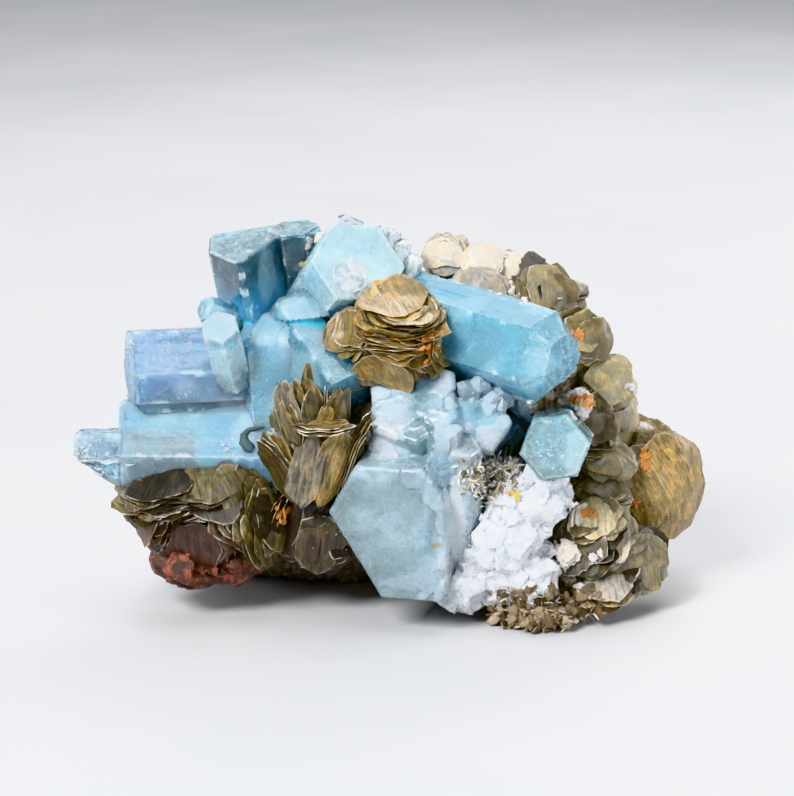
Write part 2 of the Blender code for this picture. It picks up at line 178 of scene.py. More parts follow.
PALE_BLADE = {
    "blade": dict(
        foot=(-14.0, 6.0, 64.0),
        tip=(-8.4, 3.2, 77.0),
        faces=six(1.2, 2.9, 2.9, 1.2, 2.9, 2.9),
        rim=1.1,
    ),
}
RIGHT_CRYSTAL = {
    "right_prism": dict(
        foot=(3.4, -1.2, 56.3),
        tip=(31.4, -25.4, 53.0),
        faces=six(8.5, 7.6, 6.2, 8.5, 9.0, 10.0),
        roll=-10.0,
        rim=3.6,
    ),
}
SMALL_CRYSTAL = {
    "small_prism": dict(
        foot=(31.5, -14.0, 36.0), tip=(30.1, -29.5, 38.4), faces=six(6.2), roll=10.0, rim=0.8
    ),
}
BACK_CRYSTAL = {
    "back_prism": dict(foot=(2.0, 12.0, 38.0), tip=(-14.0, 37.0, 47.0), faces=six(6.2), roll=10.0),
    "back_bud": dict(foot=(0.0, 14.0, 32.0), tip=(-3.0, 35.0, 38.0), faces=six(3.6)),
}
PALE_MASS = {
    "low_face": dict(
        foot=(2.0, -10.0, 22.5),
        tip=(-2.3, -27.5, 20.5),
        faces={0: 14.0, 60: 11.8, 120: 7.8, 180: 13.4, 240: 16.0, 270: 11.4, 300: 13.5},
    ),
    "rib_left": dict(foot=(9.0, -17.0, 7.0), tip=(9.2, -26.0, 41.5), faces=six(3.0), roll=15.0),
    "rib_right": dict(foot=(13.5, -16.0, 6.0), tip=(12.6, -26.0, 38.0), faces=six(3.2), roll=-10.0),
    "shelf": dict(foot=(7.0, -8.0, 34.0), tip=(3.0, -21.5, 45.8), faces=six(8.2), roll=20.0),
    "step": dict(foot=(4.0, -8.0, 35.0), tip=(2.0, -23.6, 36.6), faces=six(7.4), roll=8.0, rim=0.8),
    "blue_shelf": dict(foot=(16.0, -8.0, 36.0), tip=(15.6, -22.5, 42.2), faces=six(5.6), roll=-5.0),
}

# How each crystal looks. tint: linear colour of the skin. clear: how much light goes through
# near the foot, near the tip and at the end face. frost: roughness of the sides and of the
# end. growth: depth of the growth steps in mm. pits: depth of the pits on the end. chips: how
# battered the edges are. core: how far up the cloudy inside reaches, as a share of the length.
# milk and deep: linear colour of the inside near the foot and near the tip.
# fade: the share of the length over which milk turns to deep. inset: how far inside the skin
# the cloudy inside starts. wear_and_edge_highlight: how white the edges are, partly wear, partly painted
# highlight.
PLAIN_LOOK = dict(
    tint=(0.50, 0.80, 0.93), clear=(0.84, 0.88, 0.75), frost=(0.1, 0.28), growth=0.14, pits=0.12,
    chips=0.4, core=0.85, milk=(0.20, 0.54, 0.74), deep=(0.16, 0.50, 0.70), fade=(0.35, 0.75),
    inset=1.5, wear_and_edge_highlight=0.45,
)
ICE_LOOK = dict(
    tint=(0.92, 0.95, 0.98), frost=(0.06, 0.15), growth=0.08, core=0.3, milk=(0.5, 0.62, 0.72),
    deep=(0.5, 0.62, 0.72),
)
LOOKS = {
    # The tower and its wing turn near-black inside towards the tip: painted shade standing for the dark
    # that the clear upper crystal shows.
    "tower": dict(
        tint=(0.55, 0.82, 0.92), clear=(0.9, 0.96, 0.72), frost=(0.03, 0.26), growth=0.05, pits=0.2,
        chips=0.2, core=0.99, milk=(0.16, 0.56, 0.80), deep=(0.008, 0.075, 0.115),
        fade=(0.70, 0.90), inset=0.7, wear_and_edge_highlight=0.08,
    ),
    "tower_wing": dict(
        tint=(0.55, 0.82, 0.92), clear=(0.9, 0.97, 0.7), frost=(0.04, 0.28), growth=0.08,
        core=0.98, milk=(0.20, 0.50, 0.66), deep=(0.02, 0.09, 0.13), inset=0.8,
    ),
    "upper_arm": dict(
        tint=(0.58, 0.78, 0.92), clear=(0.8, 0.84, 0.8), frost=(0.08, 0.25), growth=0.10,
        chips=0.5, core=0.985, milk=(0.24, 0.52, 0.72), deep=(0.33, 0.50, 0.72), inset=0.6,
    ),
    "lower_arm": dict(
        tint=(0.60, 0.85, 1.0), clear=(0.74, 0.74, 0.75), frost=(0.12, 0.3), growth=0.06,
        core=0.985, milk=(0.32, 0.68, 0.98), deep=(0.48, 0.78, 1.0), inset=0.6,
    ),
    "clear_tip": dict(
        tint=(0.86, 0.92, 0.97), clear=(0.8, 0.93, 0.8), frost=(0.2, 0.15), growth=0.3,
        chips=1.0, core=0.6, milk=(0.4, 0.68, 0.88), deep=(0.3, 0.42, 0.52),
    ),
    "clear_tip_under": dict(
        tint=(0.88, 0.93, 0.97), clear=(0.85, 0.95, 0.6), frost=(0.06, 0.5), growth=0.3,
        chips=1.2, core=0.6, milk=(0.3, 0.4, 0.5), deep=(0.06, 0.09, 0.12), wear_and_edge_highlight=0.9,
    ),
    "trunk": dict(
        clear=(0.78, 0.7, 0.6), frost=(0.3, 0.5), growth=0.16, chips=0.1, core=0.98, wear_and_edge_highlight=0.0,
        milk=(0.18, 0.54, 0.72), deep=(0.26, 0.66, 0.88), fade=(0.4, 0.7),
    ),
    "web": dict(
        clear=(0.78, 0.8, 0.75), frost=(0.14, 0.2), growth=0.2, chips=0.1, core=0.95, wear_and_edge_highlight=0.0,
        milk=(0.18, 0.54, 0.78), deep=(0.18, 0.50, 0.76),
    ),
    "frosted_prism": dict(
        tint=(0.72, 0.90, 0.96), clear=(0.62, 0.66, 0.6), frost=(0.3, 0.45), growth=0.16,
        chips=0.8, core=0.8, milk=(0.30, 0.66, 0.80), deep=(0.38, 0.72, 0.84),
    ),
    "side_bud": dict(frost=(0.1, 0.2), growth=0.1, core=0.6, milk=(0.25, 0.55, 0.66)),
    "diagonal": dict(
        tint=(0.50, 0.80, 0.90), clear=(0.84, 0.8, 0.75), frost=(0.1, 0.15), core=0.97,
        milk=(0.08, 0.38, 0.48), deep=(0.14, 0.54, 0.72), wear_and_edge_highlight=0.25,
    ),
    "frosted_face": dict(
        tint=(0.66, 0.90, 0.98), clear=(0.66, 0.55, 0.5), frost=(0.25, 0.5), growth=0.22,
        pits=0.2, chips=0.7, core=0.97, milk=(0.24, 0.62, 0.84), deep=(0.28, 0.66, 0.88),
    ),
    "hillock": dict(
        tint=(0.82, 0.96, 1.0), clear=(0.4, 0.35, 0.25), frost=(0.3, 0.5), growth=0.2,
        chips=0.6, core=0.8, milk=(0.56, 0.84, 0.96), deep=(0.56, 0.84, 0.96),
    ),
    "spike": ICE_LOOK,
    "box_high": ICE_LOOK,
    "box_middle": ICE_LOOK,
    "box_low": ICE_LOOK,
    "blade": dict(
        tint=(0.88, 0.88, 0.98), clear=(0.9, 0.95, 0.8), frost=(0.06, 0.2), growth=0.06, core=0.0
    ),
    "right_prism": dict(
        clear=(0.78, 0.74, 0.66), frost=(0.12, 0.28), growth=0.26, pits=0.3, chips=0.7, core=0.93,
        tint=(0.46, 0.81, 0.93), milk=(0.08, 0.49, 0.70), deep=(0.07, 0.44, 0.60), wear_and_edge_highlight=0.3, inset=1.0,
    ),
    "small_prism": dict(
        tint=(0.66, 0.88, 0.92), clear=(0.82, 0.86, 0.75), frost=(0.12, 0.25), growth=0.16,
        pits=0.1, chips=0.6, core=0.9, milk=(0.20, 0.50, 0.58), deep=(0.12, 0.36, 0.44),
    ),
    "low_face": dict(core=0.93, milk=(0.24, 0.40, 0.46), deep=(0.24, 0.40, 0.46)),
    "rib_left": dict(core=0.9, milk=(0.52, 0.68, 0.78), deep=(0.48, 0.64, 0.74)),
    "rib_right": dict(core=0.9, milk=(0.52, 0.66, 0.78), deep=(0.48, 0.62, 0.74)),
    "shelf": dict(core=0.9, milk=(0.40, 0.60, 0.74), deep=(0.40, 0.60, 0.74)),
    "step": dict(core=0.9, milk=(0.30, 0.46, 0.50), deep=(0.30, 0.46, 0.50)),
    "blue_shelf": dict(core=0.9, milk=(0.18, 0.46, 0.64), deep=(0.18, 0.46, 0.64)),
}

# The mica books as in the solids: centre, azimuth and elevation of the flat side, radius,
# thickness, then aspect and spin where a book isn't round.
MICA_BOOKS = {
    "mica_centre_rosette": [
        ((-0.4, -16.0, 63.0), 10, 62, 9.4, 2.6),
        ((1.6, -19.0, 60.6), 12, 72, 9.0, 2.0),
        ((0.2, -20.5, 57.4), 5, 84, 8.4, 2.2),
        ((-1.6, -20.5, 53.0), -14, -36, 7.8, 3.4),
        ((6.2, -17.5, 57.0), 62, 10, 7.6, 2.2),
        ((-8.0, -17.5, 58.4), -40, 24, 6.4, 2.6),
    ],
    "mica_left_fan": [],  # its blades are in FAN_BLADES
    "mica_lower_left_rosette": [
        ((-48.0, -13.0, 22.8), -62, 18, 9.8, 3.0),
        ((-45.6, -18.0, 27.8), -36, 60, 9.8, 2.6, 0.9, 0),
        ((-36.4, -18.0, 28.8), 0, 62, 9.4, 3.0),
        ((-40.0, -17.0, 16.6), -20, -16, 9.8, 3.4, 0.9, 0),
        ((-51.2, -16.0, 24.4), -40, 6, 6.2, 2.4),
        ((-29.0, -18.5, 23.8), 36, 10, 8.8, 2.4, 1.2, 24),
        ((-24.6, -18.0, 20.6), 58, 4, 8.0, 2.0, 1.25, 20),
        ((-34.0, -8.0, 16.0), 10, -52, 10.0, 4.0),
    ],
    "mica_lower_blades": [
        ((-19.0, -15.0, 18.4), -28, 4, 7.4, 2.4, 1.2, -12),
        ((-14.4, -16.5, 15.8), -4, -10, 7.0, 2.2, 1.15, 4),
        ((-12.8, -15.0, 22.4), 20, 8, 7.0, 2.4, 1.2, 14),
    ],
    "mica_top_books": [
        ((9.4, 7.0, 68.6), -14, 18, 5.8, 4.2, 0.9, 0),
        ((16.6, 5.0, 67.2), 6, 24, 5.8, 4.0, 0.9, 0),
        ((16.4, 0.4, 63.8), 0, 38, 6.8, 3.0, 0.9, 0),
        ((23.0, 7.0, 66.4), 20, 20, 4.2, 3.0),
    ],
    "mica_top_right_books": [
        ((29.4, 4.0, 62.4), 26, 30, 7.6, 3.4, 0.85, 0),
        ((33.2, 6.0, 61.0), 48, 34, 7.6, 3.0, 0.9, 0),
    ],
    "mica_right_books": [
        ((38.4, -0.4, 53.4), 38, 16, 7.2, 4.4),
        ((42.4, -0.6, 45.0), 30, 34, 7.6, 3.0, 0.8, 0),
        ((46.0, 1.4, 38.4), 60, 20, 7.6, 3.0),
        ((39.0, -7.0, 39.0), 20, 20, 6.4, 2.6),
        ((42.4, -7.4, 30.6), 24, 50, 6.6, 2.6, 0.9, 0),
        ((41.0, -10.0, 25.4), 10, 58, 6.6, 2.4, 0.9, 0),
    ],
    "mica_right_shell": [
        ((55.6, -1.0, 22.6), 34, 4, 11.6, 3.2, 1.12, 10),
        ((53.8, 2.6, 22.8), 40, 10, 12.6, 3.4, 1.16, 10),
        ((50.0, -2.6, 19.6), -6, 6, 6.4, 2.4, 1.3, 8),
        ((50.6, 4.0, 31.6), 30, 52, 6.6, 2.6),
    ],
    "mica_lower_right_curl": [
        ((39.4, -16.4, 21.0), -6, 52, 6.6, 2.4),
        ((43.0, -14.6, 17.0), 44, 6, 6.8, 2.4, 1.1, 0),
        ((36.6, -17.6, 15.6), -22, 12, 6.2, 2.4, 1.2, 0),
        ((47.8, -12.6, 10.6), 16, 8, 7.6, 2.8),
        ((41.0, -17.0, 7.6), 0, 62, 7.2, 2.4, 0.85, 0),
    ],
    "mica_back_left_rosette": [
        ((-32.0, 20.0, 32.0), -150, 18, 11.0, 3.0),
        ((-38.0, 14.0, 27.0), -120, 4, 10.0, 3.0),
        ((-28.0, 26.0, 25.0), 176, -4, 10.0, 3.0),
        ((-30.0, 16.0, 41.0), -150, 54, 9.4, 2.8),
    ],
    "mica_back_right_rosette": [
        ((28.0, 28.0, 34.0), 160, 20, 11.4, 3.0),
        ((36.0, 22.0, 29.0), 130, 4, 10.6, 3.0),
        ((22.0, 31.0, 26.0), -176, -10, 10.4, 3.0),
        ((28.0, 23.0, 43.0), 150, 54, 9.6, 2.8),
    ],
    "mica_back_top_rosette": [
        ((12.0, 23.0, 57.0), 172, 40, 10.0, 3.0),
        ((4.0, 24.0, 51.0), -160, 18, 9.0, 2.8),
        ((20.0, 24.0, 52.0), 150, 24, 9.4, 2.8),
    ],
}

# Linear colours of the mica sheets, and how often each turns up in a rosette.
OLIVE = (0.155, 0.130, 0.060)
DARK = (0.035, 0.028, 0.014)
GOLDEN = (0.26, 0.19, 0.075)
GREY = (0.21, 0.19, 0.135)
CREAM = (0.52, 0.49, 0.43)
BEIGE = (0.34, 0.30, 0.18)
UMBER = (0.080, 0.045, 0.022)
RUSTY = ((0.13, 0.05, 0.028), UMBER, (0.24, 0.085, 0.045), (0.07, 0.035, 0.022))
MICA_COLOURS = {
    "mica_centre_rosette": (GOLDEN, OLIVE, BEIGE, GOLDEN, CREAM),
    "mica_lower_left_rosette": (OLIVE, UMBER, OLIVE, GREY, DARK),
    "mica_lower_blades": (DARK, DARK, (0.045, 0.030, 0.018)),
    "mica_top_books": (CREAM, CREAM, BEIGE, GREY),
    "mica_top_right_books": (OLIVE, GREY, DARK, BEIGE),
    "mica_right_books": (GREY, OLIVE, BEIGE, GREY, OLIVE),
    "mica_right_shell": (GOLDEN, (0.20, 0.145, 0.06), GOLDEN),
    "mica_lower_right_curl": (OLIVE, BEIGE, GREY, DARK, CREAM),
    "mica_back_left_rosette": (OLIVE, GREY, GOLDEN, BEIGE),
    "mica_back_right_rosette": (OLIVE, GOLDEN, GREY, BEIGE),
    "mica_back_top_rosette": (GREY, BEIGE, OLIVE, CREAM),
}


# Noise, and places in the photograph.

def field(points, scale, seed=0.0, octaves=1):
    """Smooth noise between about -1 and 1 at each point, its detail 1/scale mm wide."""
    total = np.zeros(len(points))
    weight = 0.0
    shift = np.array((seed * 7.31 + 0.37, seed * 3.17 + 1.91, seed * 5.73 + 0.11))
    for octave in range(octaves):
        share = 0.5 ** octave
        moved = (points * scale * 2.0 ** octave + shift).tolist()
        total += share * np.array([noise.noise(place) for place in moved])
        weight += share
    return 1.4 * total / weight


def toward(azimuth, elevation):
    """A direction: azimuth 0 looks to the front and 90 to the right, elevation 90 is up."""
    a, e = math.radians(azimuth), math.radians(elevation)
    return Vector((math.sin(a) * math.cos(e), -math.cos(a) * math.cos(e), math.sin(e)))


def smooth_step(low, high, values):
    share = np.clip((values - low) / (high - low), 0.0, 1.0)
    return share * share * (3.0 - 2.0 * share)


def terraces(values, count, wall=0.2):
    """Values from 0 to 1 turned into flat steps with short slopes between them."""
    scaled = np.clip(values, 0.0, 1.0) * count
    whole = np.floor(scaled)
    return (whole + smooth_step(0.0, wall, scaled - whole)) / count


VIEW_BACK = toward(0.0, CAMERA_ELEVATION)
CAMERA_PLACE = CAMERA_TARGET + VIEW_BACK * CAMERA_DISTANCE
VIEW_UP = (UP - VIEW_BACK * UP.dot(VIEW_BACK)).normalized()
VIEW_RIGHT = VIEW_UP.cross(VIEW_BACK)


def solid_mesh(names):
    """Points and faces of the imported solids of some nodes, in metres as packed."""
    points, faces = [], []
    for name in names:
        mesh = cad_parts[name].data
        start = len(points)
        points += [vertex.co[:] for vertex in mesh.vertices]
        faces += [[start + index for index in polygon.vertices] for polygon in mesh.polygons]
    return points, faces


def solid_tree(names):
    """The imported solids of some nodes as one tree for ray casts, in millimetres."""
    points, faces = solid_mesh(names)
    return BVHTree.FromPolygons([Vector(point) / MM + Vector(ORIGIN) for point in points], faces)


SOLIDS = solid_tree(sorted(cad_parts))
shown_points, shown_faces = [], []  # every visible mesh made so far


def shown_tree():
    """All that has been made so far as one tree for ray casts, in millimetres."""
    return BVHTree.FromPolygons(np.concatenate(shown_points).tolist(), shown_faces)


def pixel_ray(photo_x, photo_y):
    """The way from the camera through a spot of the photograph."""
    across = (photo_x - PHOTO_CENTRE[0]) / PIXELS_PER_MM
    above = (PHOTO_CENTRE[1] - photo_y) / PIXELS_PER_MM
    return CAMERA_TARGET + VIEW_RIGHT * across + VIEW_UP * above - CAMERA_PLACE


def at_pixel(photo_x, photo_y, tree):
    """Place and outward direction of the surface that shows at a spot of the photograph."""
    ray = pixel_ray(photo_x, photo_y).normalized()
    place, normal, _, _ = tree.ray_cast(CAMERA_PLACE, ray)
    if place is None:
        return None
    if normal.dot(ray) > 0:
        normal = -normal
    return place, normal


def on_photo(points):
    """Where points in millimetres show in the photograph."""
    away = points - np.array(CAMERA_PLACE)
    scale = -PIXELS_PER_MM * CAMERA_DISTANCE / (away @ np.array(VIEW_BACK))
    return (
        PHOTO_CENTRE[0] + (away @ np.array(VIEW_RIGHT)) * scale,
        PHOTO_CENTRE[1] - (away @ np.array(VIEW_UP)) * scale,
    )


# Putting pieces together.

ATTRIBUTES = {"tint": ("FLOAT_COLOR", "color"), "grain": ("FLOAT_VECTOR", "vector")}


def random_vector(rng, spread):
    return Vector([rng.gauss(0, spread) for _ in range(3)])


def ring_faces(rows, columns):
    """The four-sided faces between rows of points that each close to a ring."""
    faces = []
    for row in range(rows - 1):
        a, b = row * columns, (row + 1) * columns
        for i in range(columns):
            j = (i + 1) % columns
            faces.append((a + i, a + j, b + j, b + i))
    return faces


class Pile:
    """Gathers the points, faces and per-point values of many shapes for one piece."""

    def __init__(self):
        self.points = []
        self.faces = []
        self.values = {}
        self.count = 0

    def add(self, points, faces, **values):
        points = np.asarray(points, dtype=float)
        self.points.append(points)
        for face in faces:
            self.faces.append([corner + self.count for corner in face])
        for name, value in values.items():
            shape = (len(points), 3) if name in ATTRIBUTES else (len(points),)
            value = np.broadcast_to(np.asarray(value, dtype=float), shape)
            self.values.setdefault(name, []).append(value)
        self.count += len(points)

    def make(self, name, material, nodes, slot, sharp):
        """The pile as one visible piece. Edges steeper than sharp, in degrees, look crisp."""
        mesh = bpy.data.meshes.new(name)
        points = np.clip(np.concatenate(self.points), BOX_LOW + MARGIN, BOX_HIGH - MARGIN)
        mesh.from_pydata(((points - ORIGIN) * MM).tolist(), [], self.faces)
        start = sum(len(part) for part in shown_points)
        shown_points.append(points)
        shown_faces.extend([corner + start for corner in face] for face in self.faces)
        for key, parts in self.values.items():
            value = np.concatenate(parts)
            if key == "tint":
                value = np.column_stack((value, np.ones(len(value))))
            kind, part = ATTRIBUTES.get(key, ("FLOAT", "value"))
            mesh.attributes.new(key, kind, "POINT").data.foreach_set(part, value.ravel())
        mesh.materials.append(material)
        mesh.shade_smooth()
        mesh.set_sharp_from_angle(angle=math.radians(sharp))
        mesh.update()
        piece = bpy.data.objects.new(name, mesh)
        bpy.context.scene.collection.objects.link(piece)
        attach(piece, "root")
        if nodes:
            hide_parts(*nodes)
        return piece


class Prism:
    """A beryl prism from foot to tip, the same form as its solid, with a grown surface."""

    def __init__(self, foot, tip, faces, roll=0.0, rim=0.5, lean=(0.0, 0.0), soft=False):
        self.foot = Vector(foot)
        self.axis = (Vector(tip) - self.foot).normalized()
        self.length = (Vector(tip) - self.foot).length
        reference = FRONT if abs(self.axis.dot(FRONT)) < 0.75 else UP
        self.first = (reference - self.axis * reference.dot(self.axis)).normalized()
        self.second = self.axis.cross(self.first)
        self.sides = sorted((math.radians(angle + roll), far) for angle, far in faces.items())
        self.rim = rim
        self.lean = lean
        self.soft = soft

    def corners(self, inset):
        """Corners of the section, the first one before the first side."""
        found = []
        for (a, far_a), (b, far_b) in zip(self.sides[-1:] + self.sides[:-1], self.sides):
            far_a, far_b = far_a - inset, far_b - inset
            turn = math.sin(b - a)
            found.append(
                (
                    (far_a * math.sin(b) - far_b * math.sin(a)) / turn,
                    (far_b * math.cos(a) - far_a * math.cos(b)) / turn,
                )
            )
        return np.array(found)

    def place(self, u, v, t):
        return (
            np.array(self.foot)
            + np.outer(u, self.first)
            + np.outer(v, self.second)
            + np.outer(t, self.axis)
        )

    def depth(self, points):
        """How deep each point lies in the prism, negative outside it."""
        local = points - np.array(self.foot)
        u, v, t = (local @ np.array(d) for d in (self.first, self.second, self.axis))
        found = np.minimum(t, self.length - t)
        for angle, far in self.sides:
            found = np.minimum(found, far - u * math.cos(angle) - v * math.sin(angle))
        return found

    def inside_end(self, edge, step):
        """Points in rows over the flat end, and how far each is from the end's outline."""
        low, high = edge.min(axis=0), edge.max(axis=0)
        spread = []
        for row, v in enumerate(np.arange(low[1], high[1], step * 0.87)):
            for u in np.arange(low[0] + (row % 2) * step / 2, high[0], step):
                spread.append((u, v))
        spread = np.array(spread)
        far = np.full(len(spread), 1e9)
        for angle, reach in self.sides:
            gap = reach - self.rim - spread[:, 0] * math.cos(angle) - spread[:, 1] * math.sin(angle)
            far = np.minimum(far, gap)
        kept = far > step * 0.5
        return spread[kept], far[kept]

    def end_faces(self, edge, inner, edge_start, inner_start):
        """Triangles over the flat end, between its outline and the points inside it."""
        flat = [Vector(place) for place in edge.tolist() + inner.tolist()]
        loop = list(range(len(edge)))
        net = delaunay_2d_cdt(flat, [], [loop], 1, 1e-6)
        source = [sources[0] for sources in net[3]]
        index = [edge_start + i if i < len(edge) else inner_start + i - len(edge) for i in source]
        return [tuple(index[corner] for corner in face) for face in net[2]]

    def core(self, inset, share, seed, step=1.1):
        """Points and faces of the milky inside, with a cloudy, wandering skin."""
        reach = self.length * share - inset
        angles = np.linspace(0.0, math.tau, 36, endpoint=False)
        round_far = np.full(len(angles), 1e9)
        for angle, far in self.sides:
            turn = np.cos(angles - angle)
            toward_side = turn > 0.15
            round_far[toward_side] = np.minimum(
                round_far[toward_side], (far - inset) / turn[toward_side]
            )
        rows = []
        for t in np.linspace(0.3, reach, max(4, int(reach / step))):
            end = 2.0 * inset + self.rim * (self.rim > 1.0)
            taper = math.sqrt(max(0.0, 1.0 - max(0.0, (t - reach + end) / end) ** 2)) * 0.96 + 0.04
            rows.append((round_far * taper, t))
        u = np.concatenate([far * np.cos(angles) for far, _ in rows])
        v = np.concatenate([far * np.sin(angles) for far, _ in rows])
        t = np.repeat([t for _, t in rows], len(angles))
        points = self.place(u, v, t)
        sink = np.maximum(field(points, 0.22, seed, octaves=3) + 0.2, -0.4) * inset
        out = self.place(u, v, t * 0.0) - np.array(self.foot)
        out /= np.maximum(np.linalg.norm(out, axis=1), 1e-6)[:, None]
        points -= out * np.minimum(sink, np.hypot(u, v) * 0.5)[:, None]
        count = len(angles)
        faces = [tuple(range(count))[::-1], tuple(range((len(rows) - 1) * count, len(rows) * count))]
        return points, faces + ring_faces(len(rows), count), t / self.length

    def surface(self, step, look, seed):
        """Points, faces and values of the prism's surface at about the given spacing."""
        chamfer = 0.16
        base = self.corners(0.0)
        after = np.roll(base, -1, axis=0)
        shares, side_of, run, near = [], [], [], []
        start = 0.0
        for k in range(len(base)):
            length = float(np.linalg.norm(after[k] - base[k]))
            if length < 3 * chamfer:
                length = 3 * chamfer
            count = max(2, int(length / step) + 1)
            for share in np.linspace(chamfer / length, 1.0 - chamfer / length, count):
                shares.append(share)
                side_of.append(k)
                run.append(start + share * length)
                near.append(min(share, 1.0 - share) * length)
            start += length
        shares, side_of = np.array(shares), np.array(side_of)
        run, near = np.array(run), np.array(near)
        angles = np.array([angle for angle, _ in self.sides])[side_of]
        out_u, out_v = np.cos(angles), np.sin(angles)

        def outline(inset):
            here = self.corners(inset)
            beyond = np.roll(here, -1, axis=0)
            return here[side_of] * (1 - shares)[:, None] + beyond[side_of] * shares[:, None]

        rows = []
        for t in np.linspace(0.0, self.length - self.rim, max(2, int(self.length / step))):
            rows.append((outline(0.0), t, 0.0, 0.0))
        for part in np.linspace(0.0, 1.0, max(2, int(self.rim / step) + 1))[1:]:
            inward, upward = part, part
            if self.soft:
                inward = 1.0 - math.cos(part * math.pi / 2)
                upward = math.sin(part * math.pi / 2)
            rows.append((outline(self.rim * inward), self.length - self.rim * (1 - upward), part, 0.0))
        columns = len(shares)
        flat = np.concatenate([row[0] for row in rows])
        height = np.repeat([row[1] for row in rows], columns)
        bevel = np.repeat([row[2] for row in rows], columns)
        edge = outline(self.rim)
        inner, inner_far = self.inside_end(edge, step)
        inner_count = len(inner)
        flat = np.concatenate((flat, inner))
        height = np.concatenate((height, np.full(inner_count, self.length)))
        bevel = np.concatenate((bevel, np.ones(inner_count)))
        inward = np.concatenate((np.zeros(len(rows) * columns), inner_far / 2.0))
        blank = np.zeros(inner_count)
        run = np.concatenate((np.tile(run, len(rows)), inner[:, 0]))
        near = np.concatenate((np.tile(near, len(rows)), blank + 9.0))
        side = np.concatenate((np.tile(side_of, len(rows)).astype(float), blank + 30.0))
        out_u = np.concatenate((np.tile(out_u, len(rows)), blank))
        out_v = np.concatenate((np.tile(out_v, len(rows)), blank))
        on_cap = bevel >= 1.0

        # Steps and stripes of growth along the sides.
        skin = np.column_stack((run, height, side * 23.7))
        cap = np.column_stack((flat, np.full(len(flat), 5.0)))
        low = field(skin * (0.13, 0.055, 1.0), 1.0, seed)
        steps = np.clip(np.floor((low + 0.55) * 4.0), 0, 4) / 4.0
        stripes = field(skin * (1.3, 0.035, 1.0), 1.0, seed + 3.0, octaves=2)
        ripple = field(skin * (0.8, 0.8, 1.0), 1.0, seed + 5.0)
        growth, chips = look["growth"], look["chips"]
        push = -growth * (1.0 - steps) * 1.6 + growth * 0.45 * np.minimum(stripes, 0.4)
        push += growth * 0.2 * ripple
        # Chips along the edges between the sides.
        battered = field(np.column_stack((height * 0.45, side * 9.1, run * 0.1)), 1.0, seed + 7.0)
        chipped = smooth_step(0.16, 0.42, battered) * (1.0 - smooth_step(0.2, 1.3, near))
        push -= chips * 0.5 * chipped
        # Pits and steps on the flat end, then bites out of its rim.
        pit_low = field(cap, 0.22, seed + 9.0)
        pit_steps = np.clip(np.floor((pit_low + 0.5) * 4.0), 0, 4) / 4.0
        pit_fine = field(cap, 0.75, seed + 11.0)
        pitted = smooth_step(0.1, 0.35, pit_fine)
        cap_push = -look["pits"] * ((1.0 - pit_steps) * 1.4 + 1.3 * pitted)
        rim_fade = smooth_step(0.0, 0.12, inward)
        foot_fade = smooth_step(0.0, 2.0, height)
        side_push = np.where(on_cap, 0.0, push * foot_fade * (1.0 - 0.5 * bevel))
        top_push = np.where(on_cap, cap_push * rim_fade, cap_push * bevel * 0.5)
        edge_bite = field(np.column_stack((run * 0.5, side, height * 0.0)), 1.0, seed + 13.0)
        bite = chips * 0.4 * smooth_step(0.15, 0.4, edge_bite)
        at_edge = (bevel > 0.0) & (inward < 0.12)
        top_push = np.where(at_edge, top_push - bite, top_push)
        u = flat[:, 0] + out_u * side_push
        v = flat[:, 1] + out_v * side_push
        slant = np.where(height > self.length - self.rim - 1e-6, 1.0, height / self.length)
        t = height + slant * (self.lean[0] * flat[:, 0] + self.lean[1] * flat[:, 1]) + top_push
        points = self.place(u, v, t)

        # Roughness, clearness and colour. The edges are white, partly from wear and partly as a painted
        # highlight, and let less light through.
        patches = field(points, 0.28, seed + 15.0, octaves=2)
        side_frost = look["frost"][0] * (1.0 + 1.4 * smooth_step(0.1, 0.5, patches)) + 0.5 * chipped
        cap_frost = look["frost"][1] * (1.0 + 0.5 * patches) + 0.25 * pitted
        frost = np.where(on_cap, cap_frost, side_frost + (cap_frost - side_frost) * bevel)
        share = smooth_step(0.35, 0.8, height / self.length)
        clear = look["clear"][0] + (look["clear"][1] - look["clear"][0]) * share
        # Bevels and edges are whitened: partly real wear, partly a painted highlight where light catches
        # them.
        on_bevel = np.where((bevel > 0.0) & (bevel < 1.0) & (self.rim < 1.0), 0.9, 0.0)
        wear_and_edge_highlight = np.maximum(on_bevel, np.where(at_edge, 0.7, 0.0))
        wear_and_edge_highlight = np.maximum(1.0 - smooth_step(0.1, 0.3, near), wear_and_edge_highlight)
        wear_and_edge_highlight *= look["wear_and_edge_highlight"] * (0.2 + 0.8 * smooth_step(-0.3, 0.4, battered + 0.6 * edge_bite))
        clear = np.where(on_cap, look["clear"][2], clear) * (1.0 - 0.5 * chipped) * (1.0 - 0.6 * wear_and_edge_highlight)
        clear = clear - 0.2 * smooth_step(0.1, 0.6, field(points, 0.14, seed + 17.0))
        tone = 1.0 + 0.08 * field(points, 0.08, seed + 19.0)
        tint = np.array(look["tint"]) * tone[:, None]
        white = np.clip(0.4 * chipped + wear_and_edge_highlight + 0.18 * np.where(on_cap, pitted, 0.0), 0, 0.9)
        tint = tint * (1 - white[:, None]) + np.array((0.93, 0.97, 1.0)) * white[:, None]

        faces = ring_faces(len(rows), columns)
        last = (len(rows) - 1) * columns
        faces += self.end_faces(edge, inner, last, len(rows) * columns)
        foot_index = len(points)
        foot_point = self.place(np.array([0.0]), np.array([0.0]), np.array([0.0]))
        points = np.concatenate((points, foot_point))
        for i in range(columns):
            faces.append(((i + 1) % columns, i, foot_index))

        def ends(values):
            return np.concatenate((values, values[:1]))

        return points, faces, dict(
            tint=ends(tint),
            frost=np.clip(ends(frost), 0.02, 0.9),
            clear=np.clip(ends(clear), 0.0, 1.0),
            grain=ends(np.column_stack((run, height, side * 10.0))),
        )


